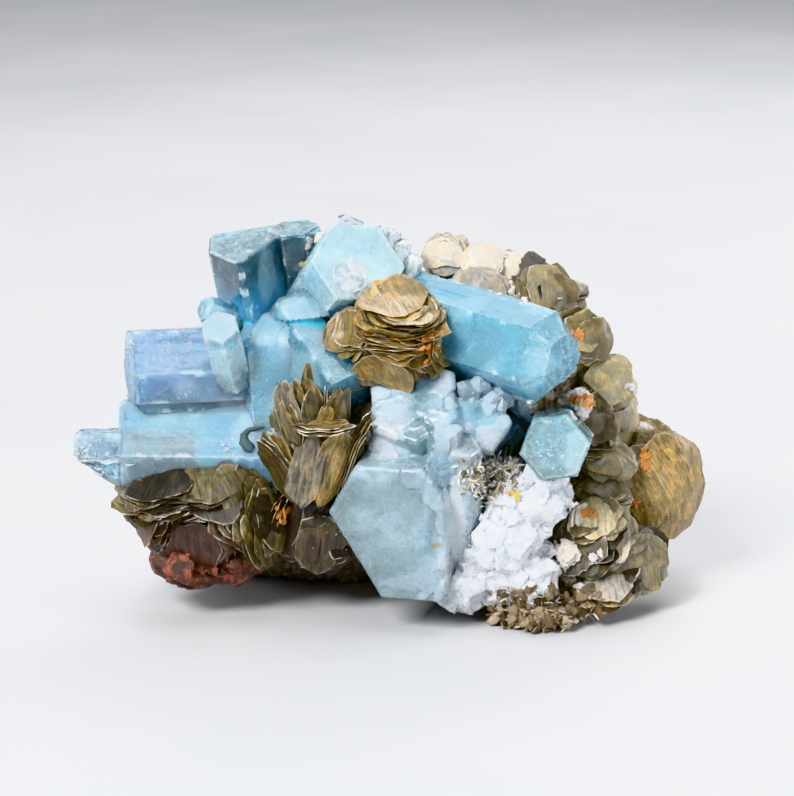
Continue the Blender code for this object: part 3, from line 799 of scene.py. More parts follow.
def grow_crystals(pile, inside, table, step, seed):
    """Adds a group of intergrown prisms, without the skin that lies inside a neighbour.

    Only the cloudy insides are added where pile is None.
    """
    prisms = {name: Prism(**row) for name, row in table.items()}
    for index, (name, prism) in enumerate(prisms.items()):
        look = {**PLAIN_LOOK, **LOOKS.get(name, {})}
        if pile:
            points, faces, values = prism.surface(step, look, seed + index * 1.7)
            buried = np.zeros(len(points), dtype=bool)
            for other_name, other in prisms.items():
                if other_name != name:
                    buried |= other.depth(points) > BURIED
            kept = [face for face in faces if not all(buried[corner] for corner in face)]
            pile.add(points, kept, **values)
        if look["core"] * prism.length > SHORTEST_CORE:
            inset = min(look["inset"], 0.3 * min(far for _, far in prism.sides))
            core_points, core_faces, share = prism.core(inset, look["core"], seed + index * 2.3)
            tone = 1.0 + 0.22 * field(core_points, 0.2, seed + index, octaves=2)
            blurred = share + 0.06 * field(core_points, 0.15, seed + 4.0)
            upper = smooth_step(*look["fade"], blurred)[:, None]
            tint = np.array(look["milk"]) * (1.0 - upper) + np.array(look["deep"]) * upper
            inside.add(core_points, core_faces, tint=tint * tone[:, None])


# Mica sheets.

SMALL_LEAF = 5.0  # below this size in mm a sheet gets fewer points


class Leaf:
    """The shape of one mica sheet: a broken outline, domed, curled and rippled."""

    def __init__(self, rng, length, width, dome, curl, ripple_seed, outline="hexagon", lined=1.0):
        small = max(length, width) < SMALL_LEAF
        self.rings = (0.5, 0.86, 1.0) if small else (0.35, 0.65, 0.86, 0.955, 1.0)
        segments = 22 if small else 30
        self.lined = lined
        self.length = length
        self.width = width
        self.dome = dome
        self.curl = curl
        self.curl_way = rng.uniform(0.0, math.tau)
        self.ripple_seed = ripple_seed
        # A six-sided outline with rounded corners, made uneven, then broken by a few notches.
        turns = np.arange(segments) * math.tau / segments
        if outline == "blade":
            start, corner = rng.uniform(-0.1, 0.1), 1.0
        else:
            start, corner = rng.uniform(0.0, math.pi / 3), rng.uniform(0.5, 1.0)
        six_sided = math.cos(math.pi / 6) / np.cos((turns + start) % (math.pi / 3) - math.pi / 6)
        reach = 1.0 - corner + corner * six_sided / 0.93
        for order, share in ((2, 0.13), (3, 0.07)):
            reach = reach * (1.0 + share * np.cos(order * turns + rng.uniform(0.0, math.tau)))
        fine = np.array([rng.random() for _ in range(segments)])
        coarse = np.repeat([rng.random() for _ in range(segments // 4 + 1)], 4)[:segments]
        reach = reach * (1.0 - 0.12 * coarse - 0.035 * fine)
        for _ in range(rng.choice((0, 0, 1, 1, 2))):
            notch = rng.randrange(segments)
            deep = rng.uniform(0.1, 0.34)
            for offset, bite in ((-2, 0.3), (-1, 0.8), (0, 1.0), (1, 0.9), (2, 0.5)):
                reach[(notch + offset) % segments] *= 1.0 - bite * deep
        self.turns, self.reach = turns, reach

    def points(self):
        x, y, edge = [np.zeros(1)], [np.zeros(1)], [np.zeros(1)]
        for ring in self.rings:
            x.append(self.length * ring * self.reach * np.cos(self.turns))
            y.append(self.width * ring * self.reach * np.sin(self.turns))
            # Outer ring 1 and the next ring 0.25: where the painted edge highlight of the sheet falls.
            edge.append(np.full(len(self.turns), {1.0: 1.0, 0.955: 0.25}.get(ring, 0.0)))
        x, y, edge = np.concatenate(x), np.concatenate(y), np.concatenate(edge)
        scale = max(self.length, self.width)
        along = (x * math.cos(self.curl_way) + y * math.sin(self.curl_way)) / scale
        height = self.dome * (x * x + y * y) / scale
        height += self.curl * scale * np.maximum(along - 0.2, 0.0) ** 2
        flat = np.column_stack((x, y, np.zeros(len(x))))
        height += 0.06 * scale * field(flat / scale, 1.9, self.ripple_seed)
        height += 0.022 * scale * field(flat / scale, 5.0, self.ripple_seed + 2.0)
        return x, y, height, edge, len(self.rings)


def add_sheet(pile, leaf, centre, across, normal, thick, tint, rim, mark):
    """One sheet: its two faces a little apart, and the broken edge between them."""
    side = normal.cross(across)
    x, y, height, edge, rings = leaf.points()
    count = len(leaf.turns)
    base = (
        np.array(centre)
        + np.outer(x, np.array(across))
        + np.outer(y, np.array(side))
    )
    lift = np.outer(height, np.array(normal))
    top = base + lift + np.array(normal) * thick / 2
    bottom = base + lift - np.array(normal) * thick / 2
    faces = []
    size = len(x)
    for i in range(count):
        j = (i + 1) % count
        faces.append((0, 1 + i, 1 + j))
        faces.append((size, size + 1 + j, size + 1 + i))
        for ring in range(rings - 1):
            a, b = 1 + ring * count, 1 + (ring + 1) * count
            faces.append((a + i, b + i, b + j, a + j))
            faces.append((size + a + i, size + a + j, size + b + j, size + b + i))
        last = 1 + (rings - 1) * count
        faces.append((last + i, size + last + i, size + last + j, last + j))
    grain = np.column_stack((x, y, np.full(size, mark * 3.7)))
    # The rim value makes the sheet's outer edge pale in the material: a painted edge highlight.
    pile.add(
        np.concatenate((top, bottom)),
        faces,
        tint=tint,
        rim=np.concatenate((edge, edge)) * rim,
        lined=leaf.lined,
        grain=np.concatenate((grain, grain)),
    )


def book_frame(azimuth, elevation, spin=0.0):
    normal = toward(azimuth, elevation)
    upright = UP - normal * UP.dot(normal)
    if upright.length < 0.2:
        upright = -FRONT
    upright.normalize()
    upright.rotate(Matrix.Rotation(math.radians(spin), 3, normal))
    return normal, upright, upright.cross(normal)


def sheet_tint(rng, colours):
    return np.array(rng.choice(colours)) * rng.uniform(0.5, 1.25)


# How strong the painted highlight along a sheet's edge is.
def rim_highlight_strength(rng):
    return rng.choice((0.0, 0.35, 0.5, 0.7, 1.0))


def add_book(
    pile, rng, centre, axes, radius, thick, aspect, colours, sheets, fan, dome=None, lined=0.6
):
    """A book of mica: sheets that start together at the root and part towards the open edge."""
    normal, upright, side = axes
    centre = Vector(centre)
    inward = CORE - centre
    root = inward - normal * inward.dot(normal)
    root = root.normalized() if root.length > 2.0 else -upright
    hinge = centre + root * radius * 0.8
    hinge_axis = normal.cross(root).normalized()
    dome = rng.uniform(-0.26, 0.02) if dome is None else dome
    curl = rng.choice((0.0, 0.0, 0.15, -0.2, 0.3))
    ripple = rng.uniform(0, 50)
    tint = sheet_tint(rng, colours)
    for number in range(sheets):
        place = (number + 0.5) / sheets - 0.5
        part = math.radians(place * 2.0 * fan + rng.uniform(-1.6, 1.6))
        turn = Matrix.Rotation(part, 3, hinge_axis)
        twist = Matrix.Rotation(math.radians(rng.uniform(-16, 16)), 3, normal)
        spot = hinge + turn @ (centre - hinge) + normal * place * thick
        spot += (upright * rng.uniform(-0.07, 0.07) + side * rng.uniform(-0.07, 0.07)) * radius
        size = radius * (1.0 - 0.2 * (number / sheets) - 0.1 * rng.random())
        leaf = Leaf(rng, size * aspect, size, dome, curl, ripple, lined=lined)
        tint = sheet_tint(rng, colours) if rng.random() < 0.3 else tint * rng.uniform(0.8, 1.25)
        across, facing = turn @ twist @ upright, turn @ normal
        thin = thick / sheets * rng.uniform(0.25, 0.5)
        add_sheet(
            pile, leaf, spot, across, facing, thin, tint, rim_highlight_strength(rng), rng.random() * 40
        )


# How the books of some rosettes differ: sheets in a book, how far they fan out in degrees, how
# far they bulge (below 0) or cup (above 0), smaller books around each, and how striped they are.
PLAIN_STYLE = dict(sheets=6, fan=3.4, dome=(-0.3, 0.06), extra=3, lined=0.6)
MICA_STYLES = {
    "mica_centre_rosette": dict(sheets=8, fan=6.0, dome=(0.06, 0.34), extra=4),
    "mica_lower_left_rosette": dict(sheets=8, fan=4.4, dome=(-0.2, 0.06), extra=3, lined=0.9),
    "mica_top_books": dict(sheets=7, fan=2.2, dome=(-0.5, -0.3), extra=2, lined=0.15),
    "mica_top_right_books": dict(sheets=8, fan=3.4, dome=(-0.5, -0.3), lined=0.25),
    "mica_right_books": dict(sheets=7, fan=3.0, dome=(-0.5, -0.22), lined=0.2),
    "mica_right_shell": dict(sheets=9, fan=3.0, dome=(-0.48, -0.36), extra=0, lined=0.75),
    "mica_lower_blades": dict(sheets=5, dome=(-0.3, -0.1), extra=1, lined=0.8),
}


# Books lower and further left than this are stained by the red feldspar under them, in mm.
STAINED_BELOW = 21.0
STAINED_LEFT = -28.0


def grow_mica(name, rows, seed):
    """All the books of a rosette, with smaller ones between them."""
    pile = Pile()
    rng = random.Random(seed)
    style = {**PLAIN_STYLE, **MICA_STYLES.get(name, {})}
    for row in rows:
        centre, azimuth, elevation, radius, thick = row[:5]
        aspect = row[5] if len(row) > 5 else 1.0
        spin = row[6] if len(row) > 6 else 0.0
        axes = book_frame(azimuth, elevation, spin)
        stained = centre[2] < STAINED_BELOW and centre[0] < STAINED_LEFT
        colours = RUSTY if stained else MICA_COLOURS[name]
        add_book(
            pile, rng, centre, axes, radius, thick, aspect, colours, style["sheets"], style["fan"],
            rng.uniform(*style["dome"]), style["lined"],
        )
        for _ in range(style["extra"]):
            turn = rng.uniform(0, math.tau)
            off = (axes[1] * math.cos(turn) + axes[2] * math.sin(turn)) * radius
            tilt = (azimuth + rng.uniform(-40, 40), elevation + rng.uniform(-34, 34))
            inner = Vector(centre) + off * rng.uniform(0.25, 0.6) - axes[0] * rng.uniform(0.0, 1.4)
            add_book(
                pile, rng, inner, book_frame(*tilt, rng.uniform(-40, 40)),
                radius * rng.uniform(0.4, 0.66), thick * 0.8, rng.uniform(0.75, 1.3), colours,
                sheets=rng.choice((2, 3, 4)), fan=5.0, lined=style["lined"],
            )
    return pile


# The upright blades of the left fan, each from its root to its tip as the photograph shows
# them (photo_x, photo_y), its width, its distance to the front and the way its flat side looks.
FAN_BLADES = {
    "far_left": dict(root=(302, 478), tip=(270, 386), width=5.6, front=-20.0, looks=(-52, 8)),
    "left": dict(root=(304, 474), tip=(293, 372), width=6.6, front=-22.0, looks=(-24, 6)),
    "middle": dict(root=(308, 462), tip=(314, 363), width=6.8, front=-20.5, looks=(6, 12)),
    "middle_front": dict(root=(312, 470), tip=(315, 384), width=5.2, front=-24.0, looks=(34, 4)),
    "right": dict(root=(306, 474), tip=(344, 389), width=6.2, front=-22.5, looks=(30, 10)),
    "far_right": dict(root=(322, 500), tip=(373, 410), width=4.6, front=-22.0, looks=(62, 6)),
    "right_low": dict(root=(318, 505), tip=(352, 420), width=7.4, front=-24.5, looks=(18, 0)),
    "left_low": dict(root=(296, 500), tip=(262, 430), width=6.4, front=-21.0, looks=(-44, -4)),
    "inner_low": dict(root=(300, 512), tip=(316, 428), width=6.6, front=-25.0, looks=(-10, -6)),
    "short_left": dict(root=(300, 452), tip=(281, 398), width=3.4, front=-24.4, looks=(-30, 10)),
    "short_right": dict(root=(318, 450), tip=(331, 392), width=3.4, front=-24.6, looks=(20, 20)),
    "sliver": dict(root=(326, 440), tip=(329, 383), width=1.6, front=-23.0, looks=(70, 0)),
    "edge_on": dict(root=(337, 494), tip=(370, 413), width=3.2, front=-25.2, looks=(82, 8)),
}
# Sheets seen edge-on in the fan, as pale lines from a full-strength painted edge highlight: both ends and
# the distance to the front.
FAN_SHELVES = {
    "white_shelf": dict(root=(292, 426), tip=(357, 429), width=4.4, front=-27.0, looks=(0, 78)),
    "under_shelf": dict(root=(286, 438), tip=(350, 446), width=6.4, front=-22.0, looks=(-6, 60)),
    "low_shelf": dict(root=(284, 456), tip=(334, 462), width=6.0, front=-21.5, looks=(-10, 50)),
}


def at_front(photo, front):
    """The place in millimetres of a spot of the photograph, at a distance to the front."""
    ray = pixel_ray(*photo)
    return CAMERA_PLACE + ray * ((front - CAMERA_PLACE.y) / ray.y)


def add_blade(pile, rng, root, tip, width, front, looks, colours, rim=None, sheets=4):
    """A leaf-shaped book of mica that runs from its root to its tip."""
    low, high = at_front(root, front + 2.5), at_front(tip, front)
    across = (high - low).normalized()
    facing = toward(*looks)
    facing = (facing - across * facing.dot(across)).normalized()
    ripple = rng.uniform(0, 50)
    bend = rng.uniform(-0.28, 0.1)
    for number in range(sheets):
        part = Matrix.Rotation(math.radians((number - sheets / 2) * 3.0 + rng.uniform(-2, 2)), 3, facing)
        way = part @ across
        length = (high - low).length * rng.uniform(0.86, 1.0)
        centre = low + way * length / 2 + facing * (number - sheets / 2) * 0.5
        leaf = Leaf(
            rng, length / 2, width * rng.uniform(0.8, 1.05) / 2 * 1.2, bend, 0.2, ripple, "blade"
        )
        # Strength of the painted highlight along the blade's edge.
        edge = rng.choice((0.2, 0.4, 0.8)) if rim is None else rim
        add_sheet(
            pile, leaf, centre, way, facing, 0.24, sheet_tint(rng, colours), edge, rng.random() * 40
        )


# Blocks, plates and grains.

ICO = {}


def ico_shape(subdivisions):
    if subdivisions not in ICO:
        work = bmesh.new()
        bmesh.ops.create_icosphere(work, subdivisions=subdivisions, radius=1.0)
        work.verts.ensure_lookup_table()
        points = np.array([vertex.co[:] for vertex in work.verts])
        faces = [tuple(vertex.index for vertex in face.verts) for face in work.faces]
        work.free()
        ICO[subdivisions] = (points, faces)
    return ICO[subdivisions]


def add_chunk(pile, rng, centre, radii, normal, tint):
    """A small angular grain: a ball cut by a few random flats, lying along a surface."""
    points, faces = ico_shape(2 if max(radii) > 1.2 else 1)
    points = points.copy()
    for _ in range(11):
        way = random_vector(rng, 1).normalized()
        far = rng.uniform(0.42, 0.75)
        over = np.maximum(points @ np.array(way) - far, 0.0)
        points -= np.outer(over, np.array(way))
    side = normal.orthogonal().normalized()
    side.rotate(Matrix.Rotation(rng.uniform(0, math.tau), 3, normal))
    axes = np.array([side, normal.cross(side), normal])
    points = (points * np.array(radii)) @ axes + np.array(centre)
    pile.add(points, faces, tint=tint)


def add_plate(pile, rng, centre, normal, radii, thick, tint, corners, spin):
    """A thin grown plate with a wavering outline and a bevelled upper edge."""
    upright = UP - normal * UP.dot(normal)
    upright = upright.normalized() if upright.length > 0.1 else normal.orthogonal().normalized()
    upright.rotate(Matrix.Rotation(math.radians(spin), 3, normal))
    side = upright.cross(normal)
    turns = [math.tau * (k + rng.uniform(-0.3, 0.3)) / corners for k in range(corners)]
    reach = [rng.uniform(0.74, 1.12) for _ in range(corners)]
    rings = ((1.04, -thick), (1.0, thick * 0.55), (0.9, thick), (0.45, thick * 1.02))
    points = []
    for scale, height in rings:
        for turn, far in zip(turns, reach):
            points.append(
                centre
                + normal * height
                + side * math.sin(turn) * far * scale * radii[0]
                + upright * math.cos(turn) * far * scale * radii[1]
            )
    points.append(centre + normal * thick)
    faces = [(b, a, d, c) for a, b, c, d in ring_faces(len(rings), corners)]
    last = (len(rings) - 1) * corners
    for i in range(corners):
        faces.append((last + (i + 1) % corners, last + i, len(points) - 1))
    pile.add([point[:] for point in points], faces, tint=tint)


def add_needle(pile, base, way, length, width, tint):
    """A thin square needle or blade that tapers to its tip."""
    way = way.normalized()
    side = way.orthogonal().normalized()
    other = way.cross(side)
    points = []
    for share, size in ((0.0, 0.8), (0.5, 1.0), (0.92, 0.55)):
        for a, b in ((1, 0.4), (-1, 0.4), (-1, -0.4), (1, -0.4)):
            points.append(base + way * length * share + (side * a + other * b) * width * size / 2)
    points.append(base + way * length)
    faces = [(0, 3, 2, 1)] + ring_faces(3, 4)
    for i in range(4):
        faces.append((8 + i, 8 + (i + 1) % 4, 12))
    pile.add([point[:] for point in points], faces, tint=tint)


def add_tube(pile, path, radii, tint, sides=10):
    """A round rod through the points of a path, thinner towards both ends."""
    points = []
    for index, (place, radius) in enumerate(zip(path, radii)):
        ahead = path[min(index + 1, len(path) - 1)] - path[max(index - 1, 0)]
        side = ahead.cross(VIEW_BACK).normalized()
        other = ahead.normalized().cross(side)
        for k in range(sides):
            turn = math.tau * k / sides
            points.append(place + (side * math.cos(turn) + other * math.sin(turn)) * radius)
    faces = ring_faces(len(path), sides)
    faces.append(tuple(range(sides))[::-1])
    faces.append(tuple(range((len(path) - 1) * sides, len(path) * sides)))
    pile.add([point[:] for point in points], faces, tint=tint)


def facets(points, spacing, depth, slope, seed):
    """A push for each point that breaks a skin into tilted flats about spacing mm wide."""
    picker = np.random.default_rng(seed)
    spread = points.max(axis=0) - points.min(axis=0)
    area = 2 * (spread[0] * spread[1] + spread[1] * spread[2] + spread[0] * spread[2])
    count = int(max(12, area / spacing ** 2))
    seeds = points[picker.choice(len(points), min(count, len(points)), replace=False)]
    tree = KDTree(len(seeds))
    for index, place in enumerate(seeds):
        tree.insert(place, index)
    tree.balance()
    nearest = np.array([tree.find(place)[1] for place in points.tolist()])
    ways = picker.normal(size=(len(seeds), 3))
    ways *= slope / np.linalg.norm(ways, axis=1)[:, None]
    lift = picker.uniform(-0.5, 0.5, len(seeds)) * depth
    push = ((points - seeds[nearest]) * ways[nearest]).sum(axis=1) + lift[nearest]
    return np.clip(push, -depth, depth)


def remeshed(name, voxel):
    """The solid of a node as a fine even skin, in millimetres."""
    points, faces = solid_mesh([name])
    mesh = bpy.data.meshes.new("skin")
    mesh.from_pydata(points, [], faces)
    body = bpy.data.objects.new("skin", mesh)
    bpy.context.scene.collection.objects.link(body)
    change = body.modifiers.new("even", "REMESH")
    change.mode = "VOXEL"
    change.voxel_size = voxel * MM
    relax = body.modifiers.new("relax", "SMOOTH")
    relax.factor = 0.5
    relax.iterations = 1
    graph = bpy.context.evaluated_depsgraph_get()
    made = bpy.data.meshes.new_from_object(body.evaluated_get(graph))
    bpy.data.objects.remove(body)
    count = len(made.vertices)
    places, normals = np.empty(count * 3), np.empty(count * 3)
    made.vertices.foreach_get("co", places)
    made.vertices.foreach_get("normal", normals)
    faces = [tuple(polygon.vertices) for polygon in made.polygons]
    return places.reshape(-1, 3) / MM + ORIGIN, normals.reshape(-1, 3), faces


def scatter_spots(points, normals, faces, count, rng, above=0.0):
    """Evenly spread spots on a skin of even faces, above a height: place and direction."""
    spots = []
    tries = 0
    while len(spots) < count and tries < count * 20:
        tries += 1
        face = faces[rng.randrange(len(faces))]
        place = Vector(points[list(face)].mean(axis=0))
        normal = Vector(normals[face[0]]).normalized()
        if place.z > above:
            spots.append((place, normal))
    return spots


# Materials.

class Recipe:
    """A node material. Its textures and bumps are in millimetres, the shader's lengths in metres."""

    def __init__(self, name):
        self.material = bpy.data.materials.new(name)
        self.material.use_nodes = True
        self.tree = self.material.node_tree
        self.shader = self.tree.nodes["Principled BSDF"]
        self.output = self.tree.nodes["Material Output"]
        place = self.node("ShaderNodeTexCoord").outputs["Object"]
        scaled = self.node("ShaderNodeVectorMath", operation="SCALE")
        self.tree.links.new(place, scaled.inputs[0])
        scaled.inputs["Scale"].default_value = 1.0 / MM
        self.here = scaled.outputs["Vector"]

    def node(self, kind, **settings):
        made = self.tree.nodes.new(kind)
        for key, value in settings.items():
            setattr(made, key, value)
        return made

    def put(self, socket, value):
        if isinstance(value, bpy.types.NodeSocket):
            self.tree.links.new(value, socket)
        elif isinstance(value, (tuple, list)) and len(value) == 3 and socket.type == "RGBA":
            socket.default_value = (*value, 1.0)
        else:
            socket.default_value = value

    def set(self, **values):
        for key, value in values.items():
            self.put(self.shader.inputs[key.replace("_", " ")], value)

    def value(self, name):
        return self.node("ShaderNodeAttribute", attribute_name=name).outputs["Fac"]

    def colour(self, name):
        return self.node("ShaderNodeAttribute", attribute_name=name).outputs["Color"]

    def grain(self, stretch):
        """The place along and across a sheet or a crystal side, stretched."""
        found = self.node("ShaderNodeAttribute", attribute_name="grain").outputs["Vector"]
        made = self.node("ShaderNodeVectorMath", operation="MULTIPLY")
        self.put(made.inputs[0], found)
        made.inputs[1].default_value = stretch
        return made.outputs["Vector"]

    def noise(self, scale, detail=3.0, rough=0.55, twist=0.0, at=None):
        made = self.node("ShaderNodeTexNoise")
        self.put(made.inputs["Vector"], at or self.here)
        made.inputs["Scale"].default_value = scale
        made.inputs["Detail"].default_value = detail
        made.inputs["Roughness"].default_value = rough
        made.inputs["Distortion"].default_value = twist
        return made.outputs["Fac"]

    def cells(self, scale):
        made = self.node("ShaderNodeTexVoronoi", feature="F1")
        self.put(made.inputs["Vector"], self.here)
        made.inputs["Scale"].default_value = scale
        return made.outputs["Distance"]

    def ramp(self, value, low, high, to_low=0.0, to_high=1.0):
        made = self.node("ShaderNodeMapRange")
        self.put(made.inputs["Value"], value)
        made.inputs["From Min"].default_value = low
        made.inputs["From Max"].default_value = high
        self.put(made.inputs["To Min"], to_low)
        self.put(made.inputs["To Max"], to_high)
        return made.outputs["Result"]

    def maths(self, operation, first, second=0.0, clamp=False):
        made = self.node("ShaderNodeMath", operation=operation, use_clamp=clamp)
        for socket, value in zip(made.inputs, (first, second)):
            self.put(socket, value)
        return made.outputs["Value"]

    def product(self, first, second):
        return self.maths("MULTIPLY", first, second)

    def mix(self, share, first, second, blend="MIX"):
        made = self.node("ShaderNodeMix", data_type="RGBA", blend_type=blend)
        self.put(made.inputs["Factor"], share)
        self.put(made.inputs[6], first)
        self.put(made.inputs[7], second)
        return made.outputs[2]

    def tinted(self, colour, factors):
        """A colour with its red, green and blue multiplied."""
        return self.mix(1.0, colour, factors, "MULTIPLY")

    def bump(self, height, depth, under=None):
        """depth is the height of the relief in millimetres."""
        made = self.node("ShaderNodeBump")
        self.put(made.inputs["Height"], height)
        made.inputs["Distance"].default_value = depth * MM
        made.inputs["Strength"].default_value = 1.0
        if under is not None:
            self.put(made.inputs["Normal"], under)
        return made.outputs["Normal"]


BLUE_GLOW = (0.5, 0.85, 1.0)  # how far red, green and blue light spread in beryl
WHITE_GLOW = (0.9, 0.95, 1.0)


def beryl_material(name, absorb, density, milk, spread):
    """Clear to milky beryl, by the tint, clear and frost values of each point."""
    r = Recipe(name)
    tint = r.colour("tint")
    cloud = r.noise(0.16, 4.0, 0.6, 0.6)
    veil = r.ramp(r.noise(0.42, 5.0, 0.65, 1.2), 0.54, 0.76)
    light = r.mix(r.ramp(cloud, 0.42, 0.72, 0.0, 0.3), tint, (0.72, 0.92, 1.0))
    flecks = r.ramp(r.cells(0.8), 0.13, 0.06)
    sparse = r.ramp(r.noise(0.25, 2.0), 0.50, 0.62)
    fleck = r.product(flecks, sparse)
    base = r.mix(r.product(fleck, 0.45), light, (0.97, 0.99, 1.0))
    clear = r.maths("SUBTRACT", r.value("clear"), r.product(veil, 0.25), clamp=True)
    clear = r.maths("SUBTRACT", clear, r.product(fleck, 0.3), clamp=True)
    spots = r.noise(0.6, 2.0, 0.5)
    frost = r.product(r.value("frost"), r.ramp(spots, 0.3, 0.7, 0.6, 1.35))
    lines = r.noise(1.0, 2.0, 0.5, 0.0, r.grain((1.6, 0.08, 1.0)))
    normal = r.bump(lines, 0.03)
    etch = r.noise(0.6, 2.0, 0.5, 0.4)
    deep = r.product(etch, r.value("frost"))
    normal = r.bump(deep, 0.2, normal)
    r.set(
        Base_Color=base, Roughness=frost, Transmission_Weight=clear, Normal=normal,
        IOR=1.575, Subsurface_Weight=milk, Subsurface_Scale=spread,
        Subsurface_Radius=BLUE_GLOW,
    )
    volume = r.node("ShaderNodeVolumeAbsorption")
    volume.inputs["Color"].default_value = (*absorb, 1.0)
    volume.inputs["Density"].default_value = density
    r.tree.links.new(volume.outputs["Volume"], r.output.inputs["Volume"])
    return r.material


def milky_material():
    """The cloudy inside of the beryl, with white veils."""
    r = Recipe("beryl_milky_inside")
    tint = r.colour("tint")
    cloud = r.noise(0.2, 5.0, 0.6, 1.0)
    veil = r.noise(0.35, 4.0, 0.6, 0.8)
    glow = r.tinted(tint, (1.5, 1.3, 1.18))
    base = r.mix(r.ramp(cloud, 0.45, 0.7), tint, glow)
    base = r.mix(r.ramp(veil, 0.56, 0.76, 0.0, 0.35), base, (0.75, 0.9, 1.0))
    shade = r.ramp(cloud, 0.47, 0.28, 0.0, 0.7)
    base = r.mix(shade, base, r.tinted(base, (0.45, 0.68, 0.78)))
    r.set(
        Base_Color=base, Roughness=0.6, Normal=r.bump(veil, 0.15), Subsurface_Weight=0.8,
        Subsurface_Scale=0.004, Specular_IOR_Level=0.1,
        Subsurface_Radius=BLUE_GLOW,
    )
    return r.material


def mica_material():
    """Muscovite: streaked, terraced sheets with a pearly gloss and thin pale broken edges, the paleness a
    painted highlight.
    """
    r = Recipe("muscovite_sheets")
    tint = r.colour("tint")
    streaks = r.noise(1.0, 3.0, 0.6, 0.5, r.grain((0.22, 1.5, 1.0)))
    blotch = r.noise(0.35, 4.0, 0.6, 0.8)
    flakes = r.noise(1.0, 3.0, 0.5, 1.5, r.grain((0.5, 0.5, 1.0)))
    steps = r.maths("FLOOR", r.product(flakes, 9.0))
    lined = r.value("lined")
    dim = r.product(r.ramp(streaks, 0.56, 0.38, 0.0, 0.85), lined)
    dark = r.mix(dim, tint, r.tinted(tint, (0.26, 0.2, 0.13)))
    warm = r.mix(r.ramp(blotch, 0.46, 0.66), dark, r.tinted(dark, (1.9, 1.55, 1.15)))
    bright = r.product(r.ramp(streaks, 0.58, 0.72, 0.0, 0.6), lined)
    light = r.tinted(tint, (2.3, 2.3, 2.5))
    pale = r.mix(bright, warm, light)
    pale = r.mix(r.ramp(flakes, 0.52, 0.72, 0.0, 0.3), pale, light)
    # Pale rims: a painted highlight along the broken sheet edges, broken up by noise.
    broken = r.ramp(r.noise(0.5, 3.0), 0.42, 0.60, 0.0, 1.0)
    rim = r.product(r.ramp(r.value("rim"), 0.25, 1.0), broken)
    base = r.mix(rim, pale, (0.72, 0.66, 0.53))
    normal = r.bump(r.product(steps, 0.2), 0.12)
    normal = r.bump(streaks, 0.16, normal)
    rough = r.ramp(blotch, 0.3, 0.7, 0.26, 0.5)
    r.set(
        Base_Color=base, Roughness=rough, Normal=normal, IOR=1.58, Coat_Weight=0.2,
        Coat_Roughness=0.22, Subsurface_Weight=0.1, Subsurface_Scale=0.0015,
        Subsurface_Radius=(1.0, 0.8, 0.5),
    )
    return r.material


def stone_material(name, colours, spot, rough=0.8, grain=1.0, see=0.0, milk=0.0, relief=0.35):
    """A granular mineral: clouds of a few colours with specks and grain on every scale."""
    r = Recipe(name)
    cloud = r.noise(0.3 * grain, 6.0, 0.65, 1.0)
    patch = r.noise(0.8 * grain, 4.0, 0.6, 0.6)
    fine = r.noise(2.6 * grain, 6.0, 0.7)
    mixed = r.mix(r.ramp(cloud, 0.38, 0.62), colours[0], colours[1])
    mixed = r.mix(r.ramp(patch, 0.5, 0.6), mixed, colours[2])
    mixed = r.mix(r.ramp(fine, 0.60, 0.66, 0.0, 0.8), mixed, spot)
    base = r.mix(r.ramp(fine, 0.45, 0.3, 0.0, 0.5), mixed, r.tinted(mixed, (0.5, 0.48, 0.45)))
    normal = r.bump(fine, relief)
    normal = r.bump(patch, relief * 1.5, normal)
    r.set(
        Base_Color=base, Roughness=r.ramp(fine, 0.3, 0.7, rough - 0.2, rough + 0.1), Normal=normal,
        Transmission_Weight=see, Subsurface_Weight=milk, Subsurface_Scale=0.0015, IOR=1.54,
        Subsurface_Radius=WHITE_GLOW,
    )
    return r.material


def tinted_stone(name, rough, see, milk, relief):
    """Grains and plates that carry their own colour."""
    r = Recipe(name)
    tint = r.colour("tint")
    cloud = r.noise(0.9, 4.0, 0.6)
    base = r.mix(r.ramp(cloud, 0.35, 0.7, 0.0, 0.5), tint, r.tinted(tint, (0.62, 0.66, 0.70)))
    fine = r.noise(3.0, 5.0, 0.65)
    normal = r.bump(fine, relief)
    r.set(
        Base_Color=base, Roughness=r.ramp(fine, 0.3, 0.7, rough - 0.1, rough + 0.15), Normal=normal,
        Transmission_Weight=see, Subsurface_Weight=milk, Subsurface_Scale=0.0006, IOR=1.55,
        Subsurface_Radius=WHITE_GLOW,
    )
    return r.material


AQUA = beryl_material("aquamarine_beryl", (0.34, 0.76, 0.92), 95.0, 0.5, 0.003)
PALE = beryl_material("pale_beryl_frosted", (0.66, 0.86, 0.92), 40.0, 0.5, 0.0012)
CLEAR = beryl_material("colourless_beryl", (0.86, 0.92, 0.97), 14.0, 0.3, 0.003)
MILKY = milky_material()
MICA = mica_material()
ROCK = stone_material(
    "matrix_granular", ((0.22, 0.16, 0.09), (0.42, 0.36, 0.27), (0.60, 0.54, 0.45)), (0.07, 0.05, 0.03)
)
FELDSPAR = stone_material(
    "iron_stained_feldspar", ((0.05, 0.024, 0.016), (0.13, 0.055, 0.035), (0.34, 0.10, 0.055)),
    (0.20, 0.13, 0.09), rough=0.45, grain=0.6,
)
ALBITE = stone_material(
    "cream_albite", ((0.78, 0.70, 0.60), (0.85, 0.80, 0.72), (0.92, 0.88, 0.82)), (0.50, 0.38, 0.24),
    rough=0.5, grain=1.1, milk=0.3,
)
QUARTZ = stone_material(
    "sugary_quartz", ((0.68, 0.74, 0.78), (0.86, 0.87, 0.92), (0.93, 0.93, 0.96)), (0.97, 0.97, 0.98),
    rough=0.34, grain=0.6, see=0.1, milk=0.5, relief=0.08,
)
GRAINS = tinted_stone("loose_grains", 0.55, 0.0, 0.2, 0.2)
